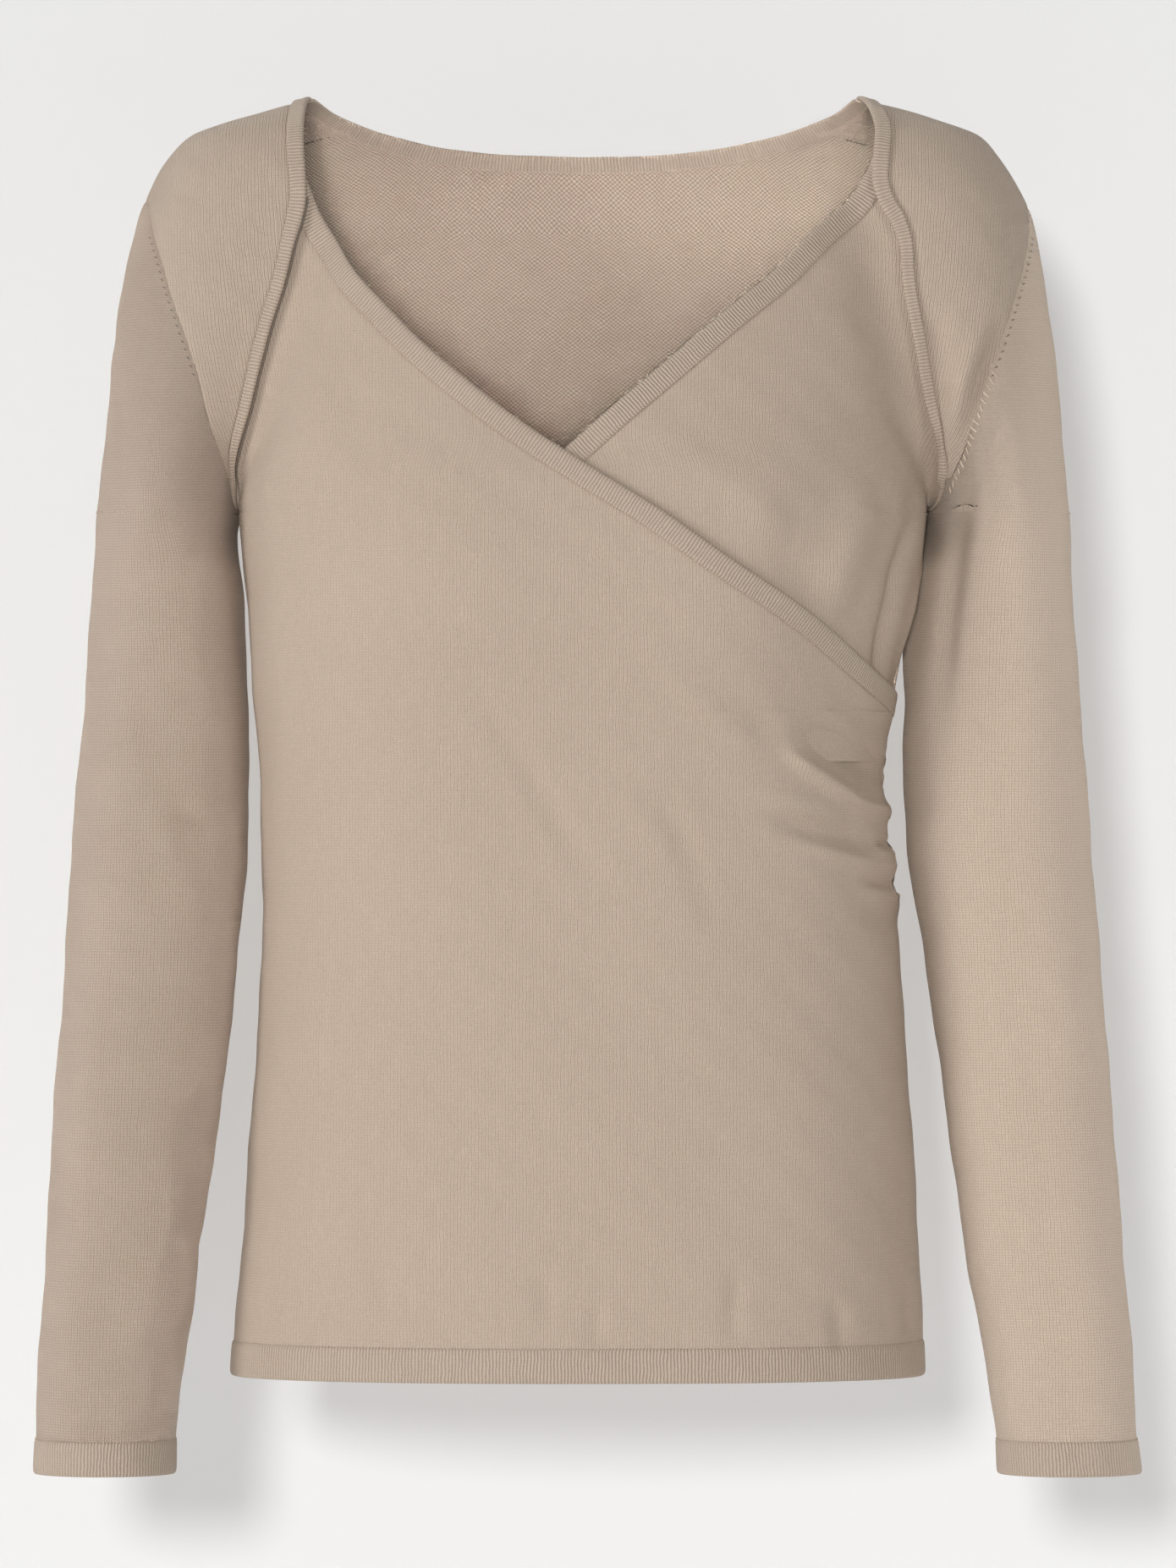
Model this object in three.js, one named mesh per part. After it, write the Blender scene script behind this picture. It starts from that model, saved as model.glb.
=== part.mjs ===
// Long-sleeved wrap sweater in fine silk jersey, hollow, holding the shape it has when worn.
// Millimetres, +Z up, the front faces -Y, +X is the wearer's left. The origin is the middle of
// the neck opening, level with the shoulder points.
import * as THREE from "three";

// ---- driving dimensions -------------------------------------------------------------------
const JERSEY = 1.2;           // wall of the jersey
const RIB = 2.0;              // wall of a folded rib band
const SEAM = 0.42;            // air between two edges that are sewn together
const TUCK = 4.0;             // how far a covered layer sinks beneath the one on it
const RAMP = 32;              // run in which a covered layer comes back up
const PROUD = 0.9;            // how far the yoke rib stands proud of the yoke
const LEDGE = 7;              // run next to the covering edge that stays down
const WRAP_BAND = 10.6;       // width of the rib on the two wrap edges
const BACK_BAND = 8.0;        // width of the rib on the back neck
const HEM_TOP = -597;         // where the hem rib is sewn on
const HEM_END = -613.2;       // bottom of the sweater
const CUFF_TOP = -643;        // where the cuff is sewn on
const CUFF_END = -659.2;      // bottom of the sleeve
const UNDERLAP_END = -319;    // plain lower edge of the underlap front, inside
const ARCH = -60;             // heights above this are measured round the shoulder, 0 on its ridge
const ARMPIT = -200;          // lowest point of the armhole
const FULLNESS = 2.35;        // how square a level cut through the body is, 2 is an ellipse
const NECK_CORNER = 138.6;    // where the neck rib is sewn on at the shoulder, from the middle

// Level cuts through the body: half widths to the wearer's right and left, depth to the front
// and to the back of the side seams.
const BODY = sections(["right", "left", "front", "back"], [
  [18, 2, 2, 2, 2],
  [8, 70, 70, 16, 38],
  [-6, 104, 104, 30, 55],
  [-22, 126, 126, 43, 67],
  [-50, 145, 145, 58, 79],
  [-100, 158, 158, 78, 88],
  [-150, 164, 164, 91, 91],
  [-190, 166, 165, 98, 90],
  [-240, 162.5, 159, 100, 85],
  [-284, 159.4, 150.4, 94, 79],
  [-330, 155.6, 145.2, 87, 75],
  [-380, 154.6, 150.4, 84, 76],
  [-441, 156.7, 154.2, 85, 79],
  [-523, 162.4, 159.4, 87, 83],
  [-604, 169, 163.8, 88, 85],
  [-640, 171, 164.6, 88, 85],
]);

// Level cuts through the two sleeves: outer and inner edge from the middle of the sweater, half
// the depth, and how far back the middle of the cut lies.
const SLEEVE = sections(["outerRight", "innerRight", "outerLeft", "innerLeft", "depth"], [
  [8, 85, 84, 85, 84, 1],
  [-1.6, 140, 60, 142, 60, 18],
  [-9, 165, 62, 169, 62, 28],
  [-17, 188, 66, 191, 66, 35],
  [-26.5, 199, 72, 200, 72, 41],
  [-38.7, 207, 80, 208, 80, 46],
  [-58, 215.4, 92, 216.4, 92, 50],
  [-100, 224, 118, 224.5, 118, 55],
  [-150, 230, 146, 230, 146, 57],
  [-190, 234, 162.6, 233, 162, 57],
  [-200, 235, 165.3, 234, 164.4, 56.8],
  [-210, 235.6, 167.4, 234.6, 166.4, 56.4],
  [-240, 237.6, 164.4, 236.3, 161, 54],
  [-284, 240.6, 162, 239.5, 155, 50],
  [-320, 244, 161.6, 241.8, 153.8, 47],
  [-360, 246.6, 162.3, 244.3, 156, 44],
  [-400, 249, 165.2, 247.8, 162, 42],
  [-441, 251.6, 169.3, 250.8, 167.6, 40],
  [-482, 254.4, 174.2, 253.3, 173.3, 38],
  [-523, 256.6, 179.5, 256.5, 179, 36],
  [-564, 258.8, 185.2, 259.8, 184.7, 34],
  [-604, 261, 190.9, 263, 191.6, 32.5],
  [-645, 262.6, 195.3, 264.6, 197.4, 31],
  [-664, 263, 196, 266.6, 198.4, 31],
]);
const SLEEVE_MIDDLE = sections(["back"], [
  [8, 6], [-58, 9], [-100, 11], [-150, 13], [-190, 14], [-240, 16], [-284, 15], [-320, 11],
  [-360, 6], [-400, 1], [-441, -4], [-482, -10], [-523, -15], [-564, -20], [-604, -24],
  [-645, -28], [-664, -29],
], 1);

// Seam lines as distance from the middle at each height, the wearer's right side counted minus.
// The armholes, where the yokes' rib is sewn on, and where the wrap edges' rib is sewn on.
const ARMHOLE = sections(["right", "left"], [
  [0, 212, 213.6], [-60, 208, 214.9], [-78, 202.5, 212.4], [-94, 198.2, 207.4],
  [-106, 194, 203.6], [-123, 188, 198.5], [-132, 185, 195], [-159, 178, 184.5],
  [-178, 171.4, 177], [-190, 169.4, 173], [-196, 168, 169.8], [-200, 165.2, 164.4],
], 1);
const YOKE_SEAM = sections(["right", "left"], [
  [0, 138.6, 138.6], [-8, 140.2, 141.6], [-16, 141.2, 144.4], [-27, 141.8, 147],
  [-36, 141.4, 146], [-44, 140.6, 145.4], [-51, 140.2, 147.6], [-59, 141.8, 153.4],
  [-71, 144.4, 156.8], [-90, 148.6, 158.2], [-103, 152.7, 160.4], [-116, 156.4, 163],
  [-146, 163.6, 168], [-178, 170, 174.6], [-192, 168.6, 171.8],
], 1);
const YOKE_RIB = sections(["width"], [
  [0, 7.8], [-54, 7.8], [-74, 6.2], [-120, 5.8], [-166, 4.6], [-182, 3],
], 1);
const WRAP_SEAM = sections(["overlap", "underlap"], [
  [0, -160, 160], [-30, -150, 152], [-53, -139.6, 138.6], [-66, -133, 124.4],
  [-74, -128, 116], [-92, -116.8, 98.6], [-110, -100.8, 77], [-127, -84.2, 57.4],
  [-141, -68, 41], [-166, -36, 11.4], [-187, -4, -13], [-207, 28, -38], [-229, 60, -66],
  [-250, 92, -93], [-262, 108.2, -108], [-276, 124.7, -125], [-290, 141.5, -143],
  [-297, 151, -153],
], 1);
// How far the seam of the back neck rib drops below the shoulder points, by distance from the
// middle.
const BACK_NECK = sections(["drop"], [
  [138.6, 0], [134, -3.5], [126, -9], [114, -15], [100, -20], [66, -27], [34, -29.8],
  [0, -30.6],
], 1);

// Heights at which the pieces are cut into rows; the shared ones keep neighbours in step.
const WRAP_END = -297;        // where the wrap edges reach the side seams
const YOKE_TIP = -183;        // the last row of a yoke before its rib closes the tip
const BACK_BEND = -66;        // above this the rows of the back bend to the shoulders and neck
const SHOULDER_ROWS = [-13, -28, -46, BACK_BEND];
const ARMHOLE_ROWS = [-86, -106, -126, -146, -164, -174, -183, -192, -197.5, ARMPIT];
const CHEST_ROWS = [-212, -232, -252, -268, -280, -288, -293, WRAP_END];
const BODY_ROWS = [-322, -358, -400, -445, -492, -544, HEM_TOP];
const BACK_CHEST_ROWS = [-212, -232, -258, -290];
const SLEEVE_ROWS = [-228, -272, -322, -376, -434, -496, -566, CUFF_TOP];
const CAP_STEPS = [0.2, 0.55];    // shares of the way from the armhole to the first level row
const HEM_ROWS = [HEM_TOP - SEAM, (HEM_TOP + HEM_END) / 2, HEM_END];
const CUFF_ROWS = [CUFF_TOP - SEAM, (CUFF_TOP + CUFF_END) / 2, CUFF_END];

// Columns of each piece.
const FRONT_COLUMNS = 16;
const UNDERLAP_COLUMNS = 14;
const YOKE_COLUMNS = 6;
const BACK_COLUMNS = 20;
const NECK_COLUMNS = 10;      // those of the back that end at the neck
const CUFF_COLUMNS = 22;
const BUNCH = 0.3;            // how much the columns crowd towards the side seams

// ---- the worn form ------------------------------------------------------------------------
// A table of named columns over falling heights, read with a smooth monotone curve. Widths and
// depths are read as squares, so an end that closes is round.
function sections(heads, rows, power = 2) {
  const h = rows.map((r) => r[0]).reverse();
  const cols = {};
  heads.forEach((head, i) => {
    const v = rows.map((r) => r[i + 1] ** power).reverse();
    const d = h.slice(1).map((a, k) => (v[k + 1] - v[k]) / (a - h[k]));
    const m = h.map((_, k) => {
      if (k === 0 || k === h.length - 1) return d[k === 0 ? 0 : k - 1];
      if (d[k - 1] * d[k] <= 0) return 0;
      const a = h[k] - h[k - 1];
      const b = h[k + 1] - h[k];
      return (3 * (a + b)) / ((2 * b + a) / d[k - 1] + (b + 2 * a) / d[k]);
    });
    cols[head] = { v, m };
  });
  return (head, z) => {
    const { v, m } = cols[head];
    const c = Math.min(Math.max(z, h[0]), h[h.length - 1]);
    let k = 0;
    while (k < h.length - 2 && c > h[k + 1]) k += 1;
    const s = h[k + 1] - h[k];
    const t = (c - h[k]) / s;
    const value = (1 + 2 * t) * (1 - t) ** 2 * v[k] + t * (1 - t) ** 2 * s * m[k]
      + t * t * (3 - 2 * t) * v[k + 1] + t * t * (t - 1) * s * m[k + 1];
    return power === 1 ? value : Math.sqrt(Math.max(value, 0));
  };
}

const ease = (a, b, x) => {
  const t = Math.min(Math.max((x - a) / (b - a), 0), 1);
  return t * t * (3 - 2 * t);
};
const mix = (a, b, t) => a + (b - a) * t;
const sideName = (x) => (x < 0 ? "Right" : "Left");

// Bust and its two high points widen the front of the body.
const BUST = { away: 76, height: -228, across: 50, along: 58, swell: 0.085 };
function bust(x, z) {
  const high = (c) => Math.exp(-((x - c) ** 2) / (2 * BUST.across ** 2));
  const level = Math.exp(-((z - BUST.height) ** 2) / (2 * BUST.along ** 2));
  return 1 + BUST.swell * (high(-BUST.away) + high(BUST.away)) * level;
}

// Signed distances, roughly, to the body, to one sleeve and to the two run together. Each closes
// just under the first height of its table; above that a place is simply outside.
const BODY_CLOSES = 17.9;
const SLEEVE_CLOSES = 7.9;
const OUTSIDE = 50;
function bodyField(x, y, z) {
  if (z > BODY_CLOSES) return OUTSIDE;
  const a = BODY(x < 0 ? "right" : "left", z) + 1e-6;
  const d = (y < 0 ? BODY("front", z) * bust(x, z) : BODY("back", z)) + 1e-6;
  const q = ((Math.abs(x) / a) ** FULLNESS + (Math.abs(y) / d) ** FULLNESS) ** (1 / FULLNESS);
  return Math.hypot(x, y) * (1 - 1 / Math.max(q, 1e-6));
}
function sleeveCut(side, z) {
  const outer = SLEEVE(`outer${side}`, z);
  const inner = SLEEVE(`inner${side}`, z);
  return { c: (outer + inner) / 2, w: (outer - inner) / 2 + 1e-6, d: SLEEVE("depth", z) + 1e-6,
    back: SLEEVE_MIDDLE("back", z) };
}
function sleeveField(x, y, z) {
  if (z > SLEEVE_CLOSES) return OUTSIDE;
  const cut = sleeveCut(sideName(x), z);
  const dx = Math.abs(x) - cut.c;
  const dy = y - cut.back;
  const q = Math.max(Math.hypot(dx / cut.w, dy / cut.d), 1e-6);
  return Math.hypot(dx, dy) * (1 - 1 / q);
}
// How softly the body runs into the sleeve, by height.
const BLEND = sections(["soft"], [
  [20, 24], [-60, 24], [-110, 26], [-150, 24], [-182, 10], [-200, 0.4],
], 1);
function wornField(x, y, z) {
  const a = bodyField(x, y, z);
  if (z < ARMPIT) return a;
  const b = sleeveField(x, y, z);
  const k = BLEND("soft", z);
  const h = Math.max(k - Math.abs(a - b), 0) / k;
  return Math.min(a, b) - (h * h * k) / 4;
}

// The middle of the cloth tube, from which a place on it is looked up: the line of the shoulder
// ridge above, the side seam below the arm. It lies at y = 0 near the neck and follows the arm
// further out.
const SEAM_STRAIGHT = -256;   // below this the side seam runs straight down
const NECK_REACH = 90;        // nearer the middle than this the line lies at y = 0
const ARM_REACH = 150;        // from here on it follows the arm
const sideSeam = (z) => (z > ARMPIT ? SLEEVE_MIDDLE("back", z)
  : SLEEVE_MIDDLE("back", ARMPIT) * ease(SEAM_STRAIGHT, ARMPIT, z));
const middle = (x, z) => sideSeam(z) * ease(NECK_REACH, ARM_REACH, Math.abs(x));
function sideEdge(face, z) {
  const a = BODY(face < 0 ? "right" : "left", z);
  return a * (1 - (sideSeam(z) / BODY("back", z)) ** FULLNESS) ** (1 / FULLNESS);
}
// The outer edge of a body row at height t: the armhole, or the side seam under it. The armhole's
// gap widens a little at the armpit, where three pieces meet.
const ARMPIT_GAP = 0.25;
function edge(face, t) {
  if (t <= ARMPIT) return face * sideEdge(face, t);
  const gap = SEAM / 2 + ARMPIT_GAP * ease(ARMPIT + 14, ARMPIT + 4, t);
  return face * (ARMHOLE(face < 0 ? "right" : "left", t) - gap);
}
// Below the arm a place is turned round the level cut, so it can pass the side of the body.
function turned(x, z, face) {
  const half = FULLNESS / 2;
  const seam = sideSeam(z) + (face * SEAM) / 2;
  const depth = BODY(seam < 0 ? "front" : "back", z);
  const start = Math.asin((Math.abs(seam) / depth) ** half) * Math.sign(seam) * face;
  const share = Math.min(Math.abs(x / edge(Math.sign(x) || 1, z)), 1);
  const level = Math.acos(share ** half);
  const angle = level + start * (1 - level / (Math.PI / 2)) ** 4;
  const across = BODY(x < 0 ? "right" : "left", z) * Math.abs(Math.cos(angle)) ** (1 / half);
  const px = Math.sign(x) * across;
  const front = face * angle < 0 ? BODY("front", z) * bust(px, z) : BODY("back", z);
  return new THREE.Vector3(px,
    face * Math.sign(angle) * front * Math.abs(Math.sin(angle)) ** (1 / half), z);
}

// How far the form lies from its middle in one direction, found by strides and then by halving.
const FARTHEST = 150;
const STRIDE = 5;
const HALVINGS = 30;
function reach(x, z0, dir) {
  const y0 = middle(x, z0);
  const inside = (r) => wornField(x, y0 + dir[1] * r, z0 + dir[2] * r) < 0;
  let near = 0;
  let far = STRIDE;
  for (let r = FARTHEST; r > 0; r -= STRIDE) {
    if (inside(r)) { near = r; far = r + STRIDE; break; }
  }
  for (let i = 0; i < HALVINGS; i += 1) {
    const r = (near + far) / 2;
    if (inside(r)) near = r; else far = r;
  }
  return near;
}
// A place on the worn form: x from the middle, height t, front (-1) or back (1). Near the ridge
// it stays half a seam's gap from the other face.
const NEAR_RIDGE = 0.35;
function place(x, t, face) {
  if (t <= ARMPIT) return turned(x, t, face);
  const z0 = Math.min(t, ARCH);
  let turn = t <= ARCH ? Math.PI / 2 : (t / ARCH) * (Math.PI / 2);
  if (turn < NEAR_RIDGE) {
    turn = Math.max(turn, Math.asin(Math.min(SEAM / 2 / reach(x, z0, [0, 0, 1]), 1)));
  }
  const dir = [0, face * Math.sin(turn), Math.cos(turn)];
  const r = reach(x, z0, dir);
  return new THREE.Vector3(x, middle(x, z0) + dir[1] * r, z0 + dir[2] * r);
}
// The height t of a point near the form, so that place() returns to it.
function heightOf(p, face) {
  if (p.z <= ARCH) return p.z;
  const turn = Math.atan2(face * (p.y - middle(p.x, ARCH)), p.z - ARCH);
  return (Math.max(turn, 0) / (Math.PI / 2)) * ARCH;
}
// The direction in which the form faces at p.
const PROBE = 1.6;
function facing(p, field = wornField) {
  const e = PROBE;
  const n = new THREE.Vector3(
    field(p.x + e, p.y, p.z) - field(p.x - e, p.y, p.z),
    field(p.x, p.y + e, p.z) - field(p.x, p.y - e, p.z),
    field(p.x, p.y, p.z + e) - field(p.x, p.y, p.z - e),
  );
  return n.normalize();
}

// ---- layers -------------------------------------------------------------------------------
// Free edges of the yokes and of the overlap, as lines of (x, t); a layer beneath one sinks.
function distance(line, x, t) {
  let best = Infinity;
  for (let i = 0; i + 1 < line.length; i += 1) {
    const [ax, at] = line[i];
    const dx = line[i + 1][0] - ax;
    const dt = line[i + 1][1] - at;
    const s = Math.min(Math.max(((x - ax) * dx + (t - at) * dt) / (dx * dx + dt * dt), 0), 1);
    best = Math.min(best, Math.hypot(x - ax - s * dx, t - at - s * dt));
  }
  return best;
}
const xAt = (line, t) => {
  let i = 0;
  while (i < line.length - 2 && t < line[i + 1][1]) i += 1;
  const [ax, at] = line[i];
  const [bx, bt] = line[i + 1];
  return mix(ax, bx, Math.min(Math.max((t - at) / (bt - at), 0), 1));
};
const sunk = (away) => TUCK * (1 - ease(LEDGE, RAMP, away));
function underYoke(line, x, t) {
  const tip = line[line.length - 1][1];
  const covered = t > tip && Math.abs(x) > Math.abs(xAt(line, t));
  return sunk(covered ? 0 : distance(line, x, t)) * ease(ARMPIT, YOKE_TIP - 3, t);
}
function underWrap(line, x, t) {
  return sunk(x < xAt(line, t) ? 0 : distance(line, x, t));
}

// ---- closed walls -------------------------------------------------------------------------
// A grid of cells, each with a place on the outer and on the inner face, becomes a closed wall.
function wall(name, cells, { closed = false } = {}) {
  const rows = cells.length;
  const cols = cells[0].length;
  const points = [];
  const index = (k, r, c) => k * rows * cols + r * cols + (closed ? (c + cols) % cols : c);
  for (const layer of ["outer", "inner"]) {
    for (const row of cells) for (const cell of row) points.push(cell[layer]);
  }
  const faces = [];
  const quad = (a, b, c, d) => faces.push(a, b, c, a, c, d);
  const span = closed ? cols : cols - 1;
  for (let r = 0; r + 1 < rows; r += 1) {
    for (let c = 0; c < span; c += 1) {
      quad(index(0, r, c), index(0, r + 1, c), index(0, r + 1, c + 1), index(0, r, c + 1));
      quad(index(1, r, c), index(1, r, c + 1), index(1, r + 1, c + 1), index(1, r + 1, c));
    }
  }
  for (let c = 0; c < span; c += 1) {
    quad(index(0, 0, c), index(0, 0, c + 1), index(1, 0, c + 1), index(1, 0, c));
    const e = rows - 1;
    quad(index(0, e, c + 1), index(0, e, c), index(1, e, c), index(1, e, c + 1));
  }
  if (!closed) {
    for (let r = 0; r + 1 < rows; r += 1) {
      quad(index(0, r + 1, 0), index(0, r, 0), index(1, r, 0), index(1, r + 1, 0));
      const e = cols - 1;
      quad(index(0, r, e), index(0, r + 1, e), index(1, r + 1, e), index(1, r, e));
    }
  }
  let volume = 0;
  for (let i = 0; i < faces.length; i += 3) {
    const [a, b, c] = [points[faces[i]], points[faces[i + 1]], points[faces[i + 2]]];
    volume += a.dot(b.clone().cross(c)) / 6;
  }
  if (volume < 0) {
    for (let i = 0; i < faces.length; i += 3) {
      [faces[i + 1], faces[i + 2]] = [faces[i + 2], faces[i + 1]];
    }
  }
  const geometry = new THREE.BufferGeometry();
  geometry.setAttribute("position",
    new THREE.Float32BufferAttribute(points.flatMap((p) => p.toArray()), 3));
  geometry.setIndex(faces);
  geometry.computeVertexNormals();
  const material = new THREE.MeshStandardMaterial({ color: 0xb9a898, roughness: 0.85 });
  material.name = `${name}_jersey`;
  const mesh = new THREE.Mesh(geometry, material);
  mesh.name = name;
  return mesh;
}
// The jersey's outer face lies on the form; a thicker rib stands out from it.
function cell(p, sink, thick, field = wornField) {
  const n = facing(p, field);
  return {
    outer: p.clone().addScaledVector(n, thick - JERSEY - sink),
    inner: p.clone().addScaledVector(n, -JERSEY - sink),
  };
}

// ---- panels -------------------------------------------------------------------------------
// Columns are even across the shoulders and crowd towards the side seams lower down.
const CROWDED = -222;         // below this the columns crowd fully, above EVEN not at all
const EVEN = -150;
const crowd = (u) => (1 - Math.cos(Math.PI * u - (BUNCH / 2) * Math.sin(2 * Math.PI * u))) / 2;
const spread = (n, t) => Array.from({ length: n + 1 },
  (_, i) => mix(crowd(i / n), i / n, ease(CROWDED, EVEN, t)));
const none = () => 0;
function panel(name, heights, columns, left, right, face, sink = none) {
  return wall(name, heights.map((t) => spread(columns, t).map((u) => {
    const x = mix(left(t), right(t), u);
    return cell(place(x, t, face), sink(x, t), JERSEY);
  })));
}

const upper = [0, ...SHOULDER_ROWS, ...ARMHOLE_ROWS];
const frontRows = [...upper, ...CHEST_ROWS];

// The free edge of a rib band, square to its seam and kept inside the panel's own edges.
function freeEdge(seam, face, width, towards) {
  const points = seam.map(([x, t]) => place(x, t, face));
  return seam.map(([, t], i) => {
    const before = points[Math.max(i - 1, 0)];
    const after = points[Math.min(i + 1, points.length - 1)];
    const along = after.clone().sub(before).normalize();
    const across = facing(points[i]).cross(along).normalize().multiplyScalar(towards);
    const q = points[i].clone().addScaledVector(across, width(t));
    const h = heightOf(q, face);
    const limit = Math.abs(edge(Math.sign(q.x), h));
    return [Math.min(Math.max(q.x, -limit), limit), h];
  });
}
// A rib band from its seam to its free edge; it keeps the seam's gap to the panel.
const BAND_STEPS = 2;
const MOST_GAP = 0.4;         // share of the band's width that the gap may take at a narrow tip
function band(name, seam, free, face, sink = none) {
  return wall(name, seam.map(([x, t], i) => {
    const [fx, ft] = free[i];
    const run = Math.hypot(fx - x, ft - t);
    return Array.from({ length: BAND_STEPS + 1 }, (_, k) => {
      const s = mix(Math.min(SEAM / run, MOST_GAP), 1, k / BAND_STEPS);
      const bx = mix(x, fx, s);
      const bt = mix(t, ft, s);
      return cell(place(bx, bt, face), sink(bx, bt), RIB);
    });
  }));
}

// Yokes: from the rib seam out to the armhole, both ending in a tip at the armhole.
const yokeRows = upper.filter((t) => t >= YOKE_TIP);
const yokeSide = (face) => (face < 0 ? "right" : "left");
const yokeSeam = (face) => yokeRows.map((t) => [
  face * Math.min(YOKE_SEAM(yokeSide(face), t), ARMHOLE(yokeSide(face), t) - SEAM * 2), t]);
const yokeWidth = (t) => YOKE_RIB("width", t);
const yokeFree = (face) => freeEdge(yokeSeam(face), -1, yokeWidth, -face);
const yokeEdge = { right: yokeFree(-1), left: yokeFree(1) };
const yoke = (face) => panel(`yoke_${yokeSide(face)}`, yokeRows, YOKE_COLUMNS,
  (t) => face * YOKE_SEAM(yokeSide(face), t), (t) => edge(face, t), -1);
const yokeBand = (face) => band(`yoke_band_${yokeSide(face)}`, yokeSeam(face),
  yokeEdge[yokeSide(face)], -1, () => -PROUD);

// The fronts stop short of the armhole beneath a yoke.
const tucked = (face, t) => edge(face, t)
  - (t > ARMPIT ? face * TUCK * ease(ARMPIT, YOKE_TIP, t) : 0);

// Wrap edges.
const overlapSeam = frontRows.map((t) => [Math.min(WRAP_SEAM("overlap", t), edge(1, t)), t]);
const underlapSeam = frontRows.map((t) => [Math.max(WRAP_SEAM("underlap", t), edge(-1, t)), t]);
const overlapFree = freeEdge(overlapSeam, -1, () => WRAP_BAND, 1);
const underlapFree = freeEdge(underlapSeam, -1, () => WRAP_BAND, -1);
const overlapSink = (x, t) => (x < 0 ? underYoke(yokeEdge.right, x, t) : 0);
const underlapSink = (x, t) => Math.max(x > 0 ? underYoke(yokeEdge.left, x, t) : 0,
  underWrap(overlapFree, x, t));

const overlapRows = [...frontRows, ...BODY_ROWS];
const frontOverlap = panel("front_overlap", overlapRows, FRONT_COLUMNS, (t) => tucked(-1, t),
  (t) => (t >= WRAP_END ? Math.min(WRAP_SEAM("overlap", t), edge(1, t)) : edge(1, t)),
  -1, overlapSink);
const underlapRows = [...frontRows, UNDERLAP_END];
const frontUnderlap = panel("front_underlap", underlapRows, UNDERLAP_COLUMNS,
  (t) => (t >= WRAP_END ? Math.max(WRAP_SEAM("underlap", t), edge(-1, t)) : edge(-1, t)),
  (t) => tucked(1, t), -1, underlapSink);

// Back: straight rows up to the armholes, then rows that bend to the shoulders and the neck.
const shoulder = (BACK_COLUMNS - NECK_COLUMNS) / 2;
function backCuts(t) {
  const share = NECK_CORNER / -edge(-1, 0);
  const along = spread(shoulder, 0);
  return spread(BACK_COLUMNS, t).map((u, i) => {
    const k = Math.min(i, BACK_COLUMNS - i);
    const v = k <= shoulder ? mix(share, 1, along[shoulder - k])
      : share * Math.cos(((k - shoulder) / NECK_COLUMNS) * Math.PI);
    const top = i * 2 <= BACK_COLUMNS ? (1 - v) / 2 : (1 + v) / 2;
    return mix(u, top, ease(EVEN, BACK_BEND, t));
  });
}
// The height t at which the back reaches its neck seam.
const AT_CORNER = 0.5;
const backTop = (x) => {
  const a = Math.abs(x);
  if (a >= NECK_CORNER - AT_CORNER) return 0;
  const z = BACK_NECK("drop", a);
  let low = ARCH;
  let high = 0;
  for (let i = 0; i < HALVINGS; i += 1) {
    const t = (low + high) / 2;
    if (place(x, t, 1).z > z) high = t; else low = t;
  }
  return (low + high) / 2;
};
const backGrid = [...upper, ...BACK_CHEST_ROWS, ...BODY_ROWS].map((t) => backCuts(t).map((u) => {
  const x = mix(edge(-1, t), edge(1, t), u);
  return [x, t > BACK_BEND ? mix(BACK_BEND, backTop(x), 1 - t / BACK_BEND) : t];
}));
const backPanel = wall("back_panel",
  backGrid.map((row) => row.map(([x, t]) => cell(place(x, t, 1), 0, JERSEY))));
const backSeam = backGrid[0].slice(shoulder, BACK_COLUMNS - shoulder + 1);
const backFree = freeEdge(backSeam, 1, () => BACK_BAND, -1);
const backBand = band("neck_band_back", backSeam, backFree, 1);

// Sleeves: the first ring is the armhole, the next ones turn level.
function armholeRing(face) {
  const side = face < 0 ? "right" : "left";
  const at = (t, half) => (t > ARMPIT
    ? place(2 * face * ARMHOLE(side, t) - edge(face, t), t, half)
    : new THREE.Vector3(edge(face, t) + face * SEAM * 1.5, sideSeam(t), t));
  const front = upper.map((t) => at(t, -1));
  const back = upper.slice(1, -1).map((t) => at(t, 1)).reverse();
  return [...front, ...back];
}
function onSleeve(face, angle, z) {
  const cut = sleeveCut(face < 0 ? "Right" : "Left", z);
  return new THREE.Vector3(face * (cut.c + cut.w * Math.cos(angle)),
    cut.back - cut.d * Math.sin(angle), z);
}
// Moves a place near the form onto it.
const SETTLE_STEPS = 8;
const SETTLE_SHARE = 0.8;
function settle(p) {
  for (let i = 0; i < SETTLE_STEPS; i += 1) {
    const off = wornField(p.x, p.y, p.z);
    p.addScaledVector(facing(p), -off * SETTLE_SHARE);
  }
  return p;
}
function sleeveGrid(face) {
  const ring = armholeRing(face);
  const n = ring.length;
  const start = ring.map((p, i) => {
    const cut = sleeveCut(face < 0 ? "Right" : "Left", p.z);
    const a = Math.atan2((cut.back - p.y) / cut.d, (Math.abs(p.x) - cut.c) / cut.w);
    return i > n / 2 && a < 0 ? a + 2 * Math.PI : a;
  });
  const rows = [ring];
  for (const s of CAP_STEPS) {
    rows.push(ring.map((p, i) => {
      const z = mix(p.z, SLEEVE_ROWS[0], s);
      const q = onSleeve(face, mix(start[i], (i / n) * 2 * Math.PI, s), z);
      return z > ARMPIT ? settle(q) : q;
    }));
  }
  for (const z of SLEEVE_ROWS) {
    rows.push(ring.map((_, i) => onSleeve(face, (i / n) * 2 * Math.PI, z)));
  }
  return rows;
}
const sleeveFacing = (p) => (p.z > ARMPIT + 1 ? wornField : sleeveField);
const sleeve = (face) => wall(`sleeve_${yokeSide(face)}`,
  sleeveGrid(face).map((row) => row.map((p) => cell(p, 0, JERSEY, sleeveFacing(p)))),
  { closed: true });
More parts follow.
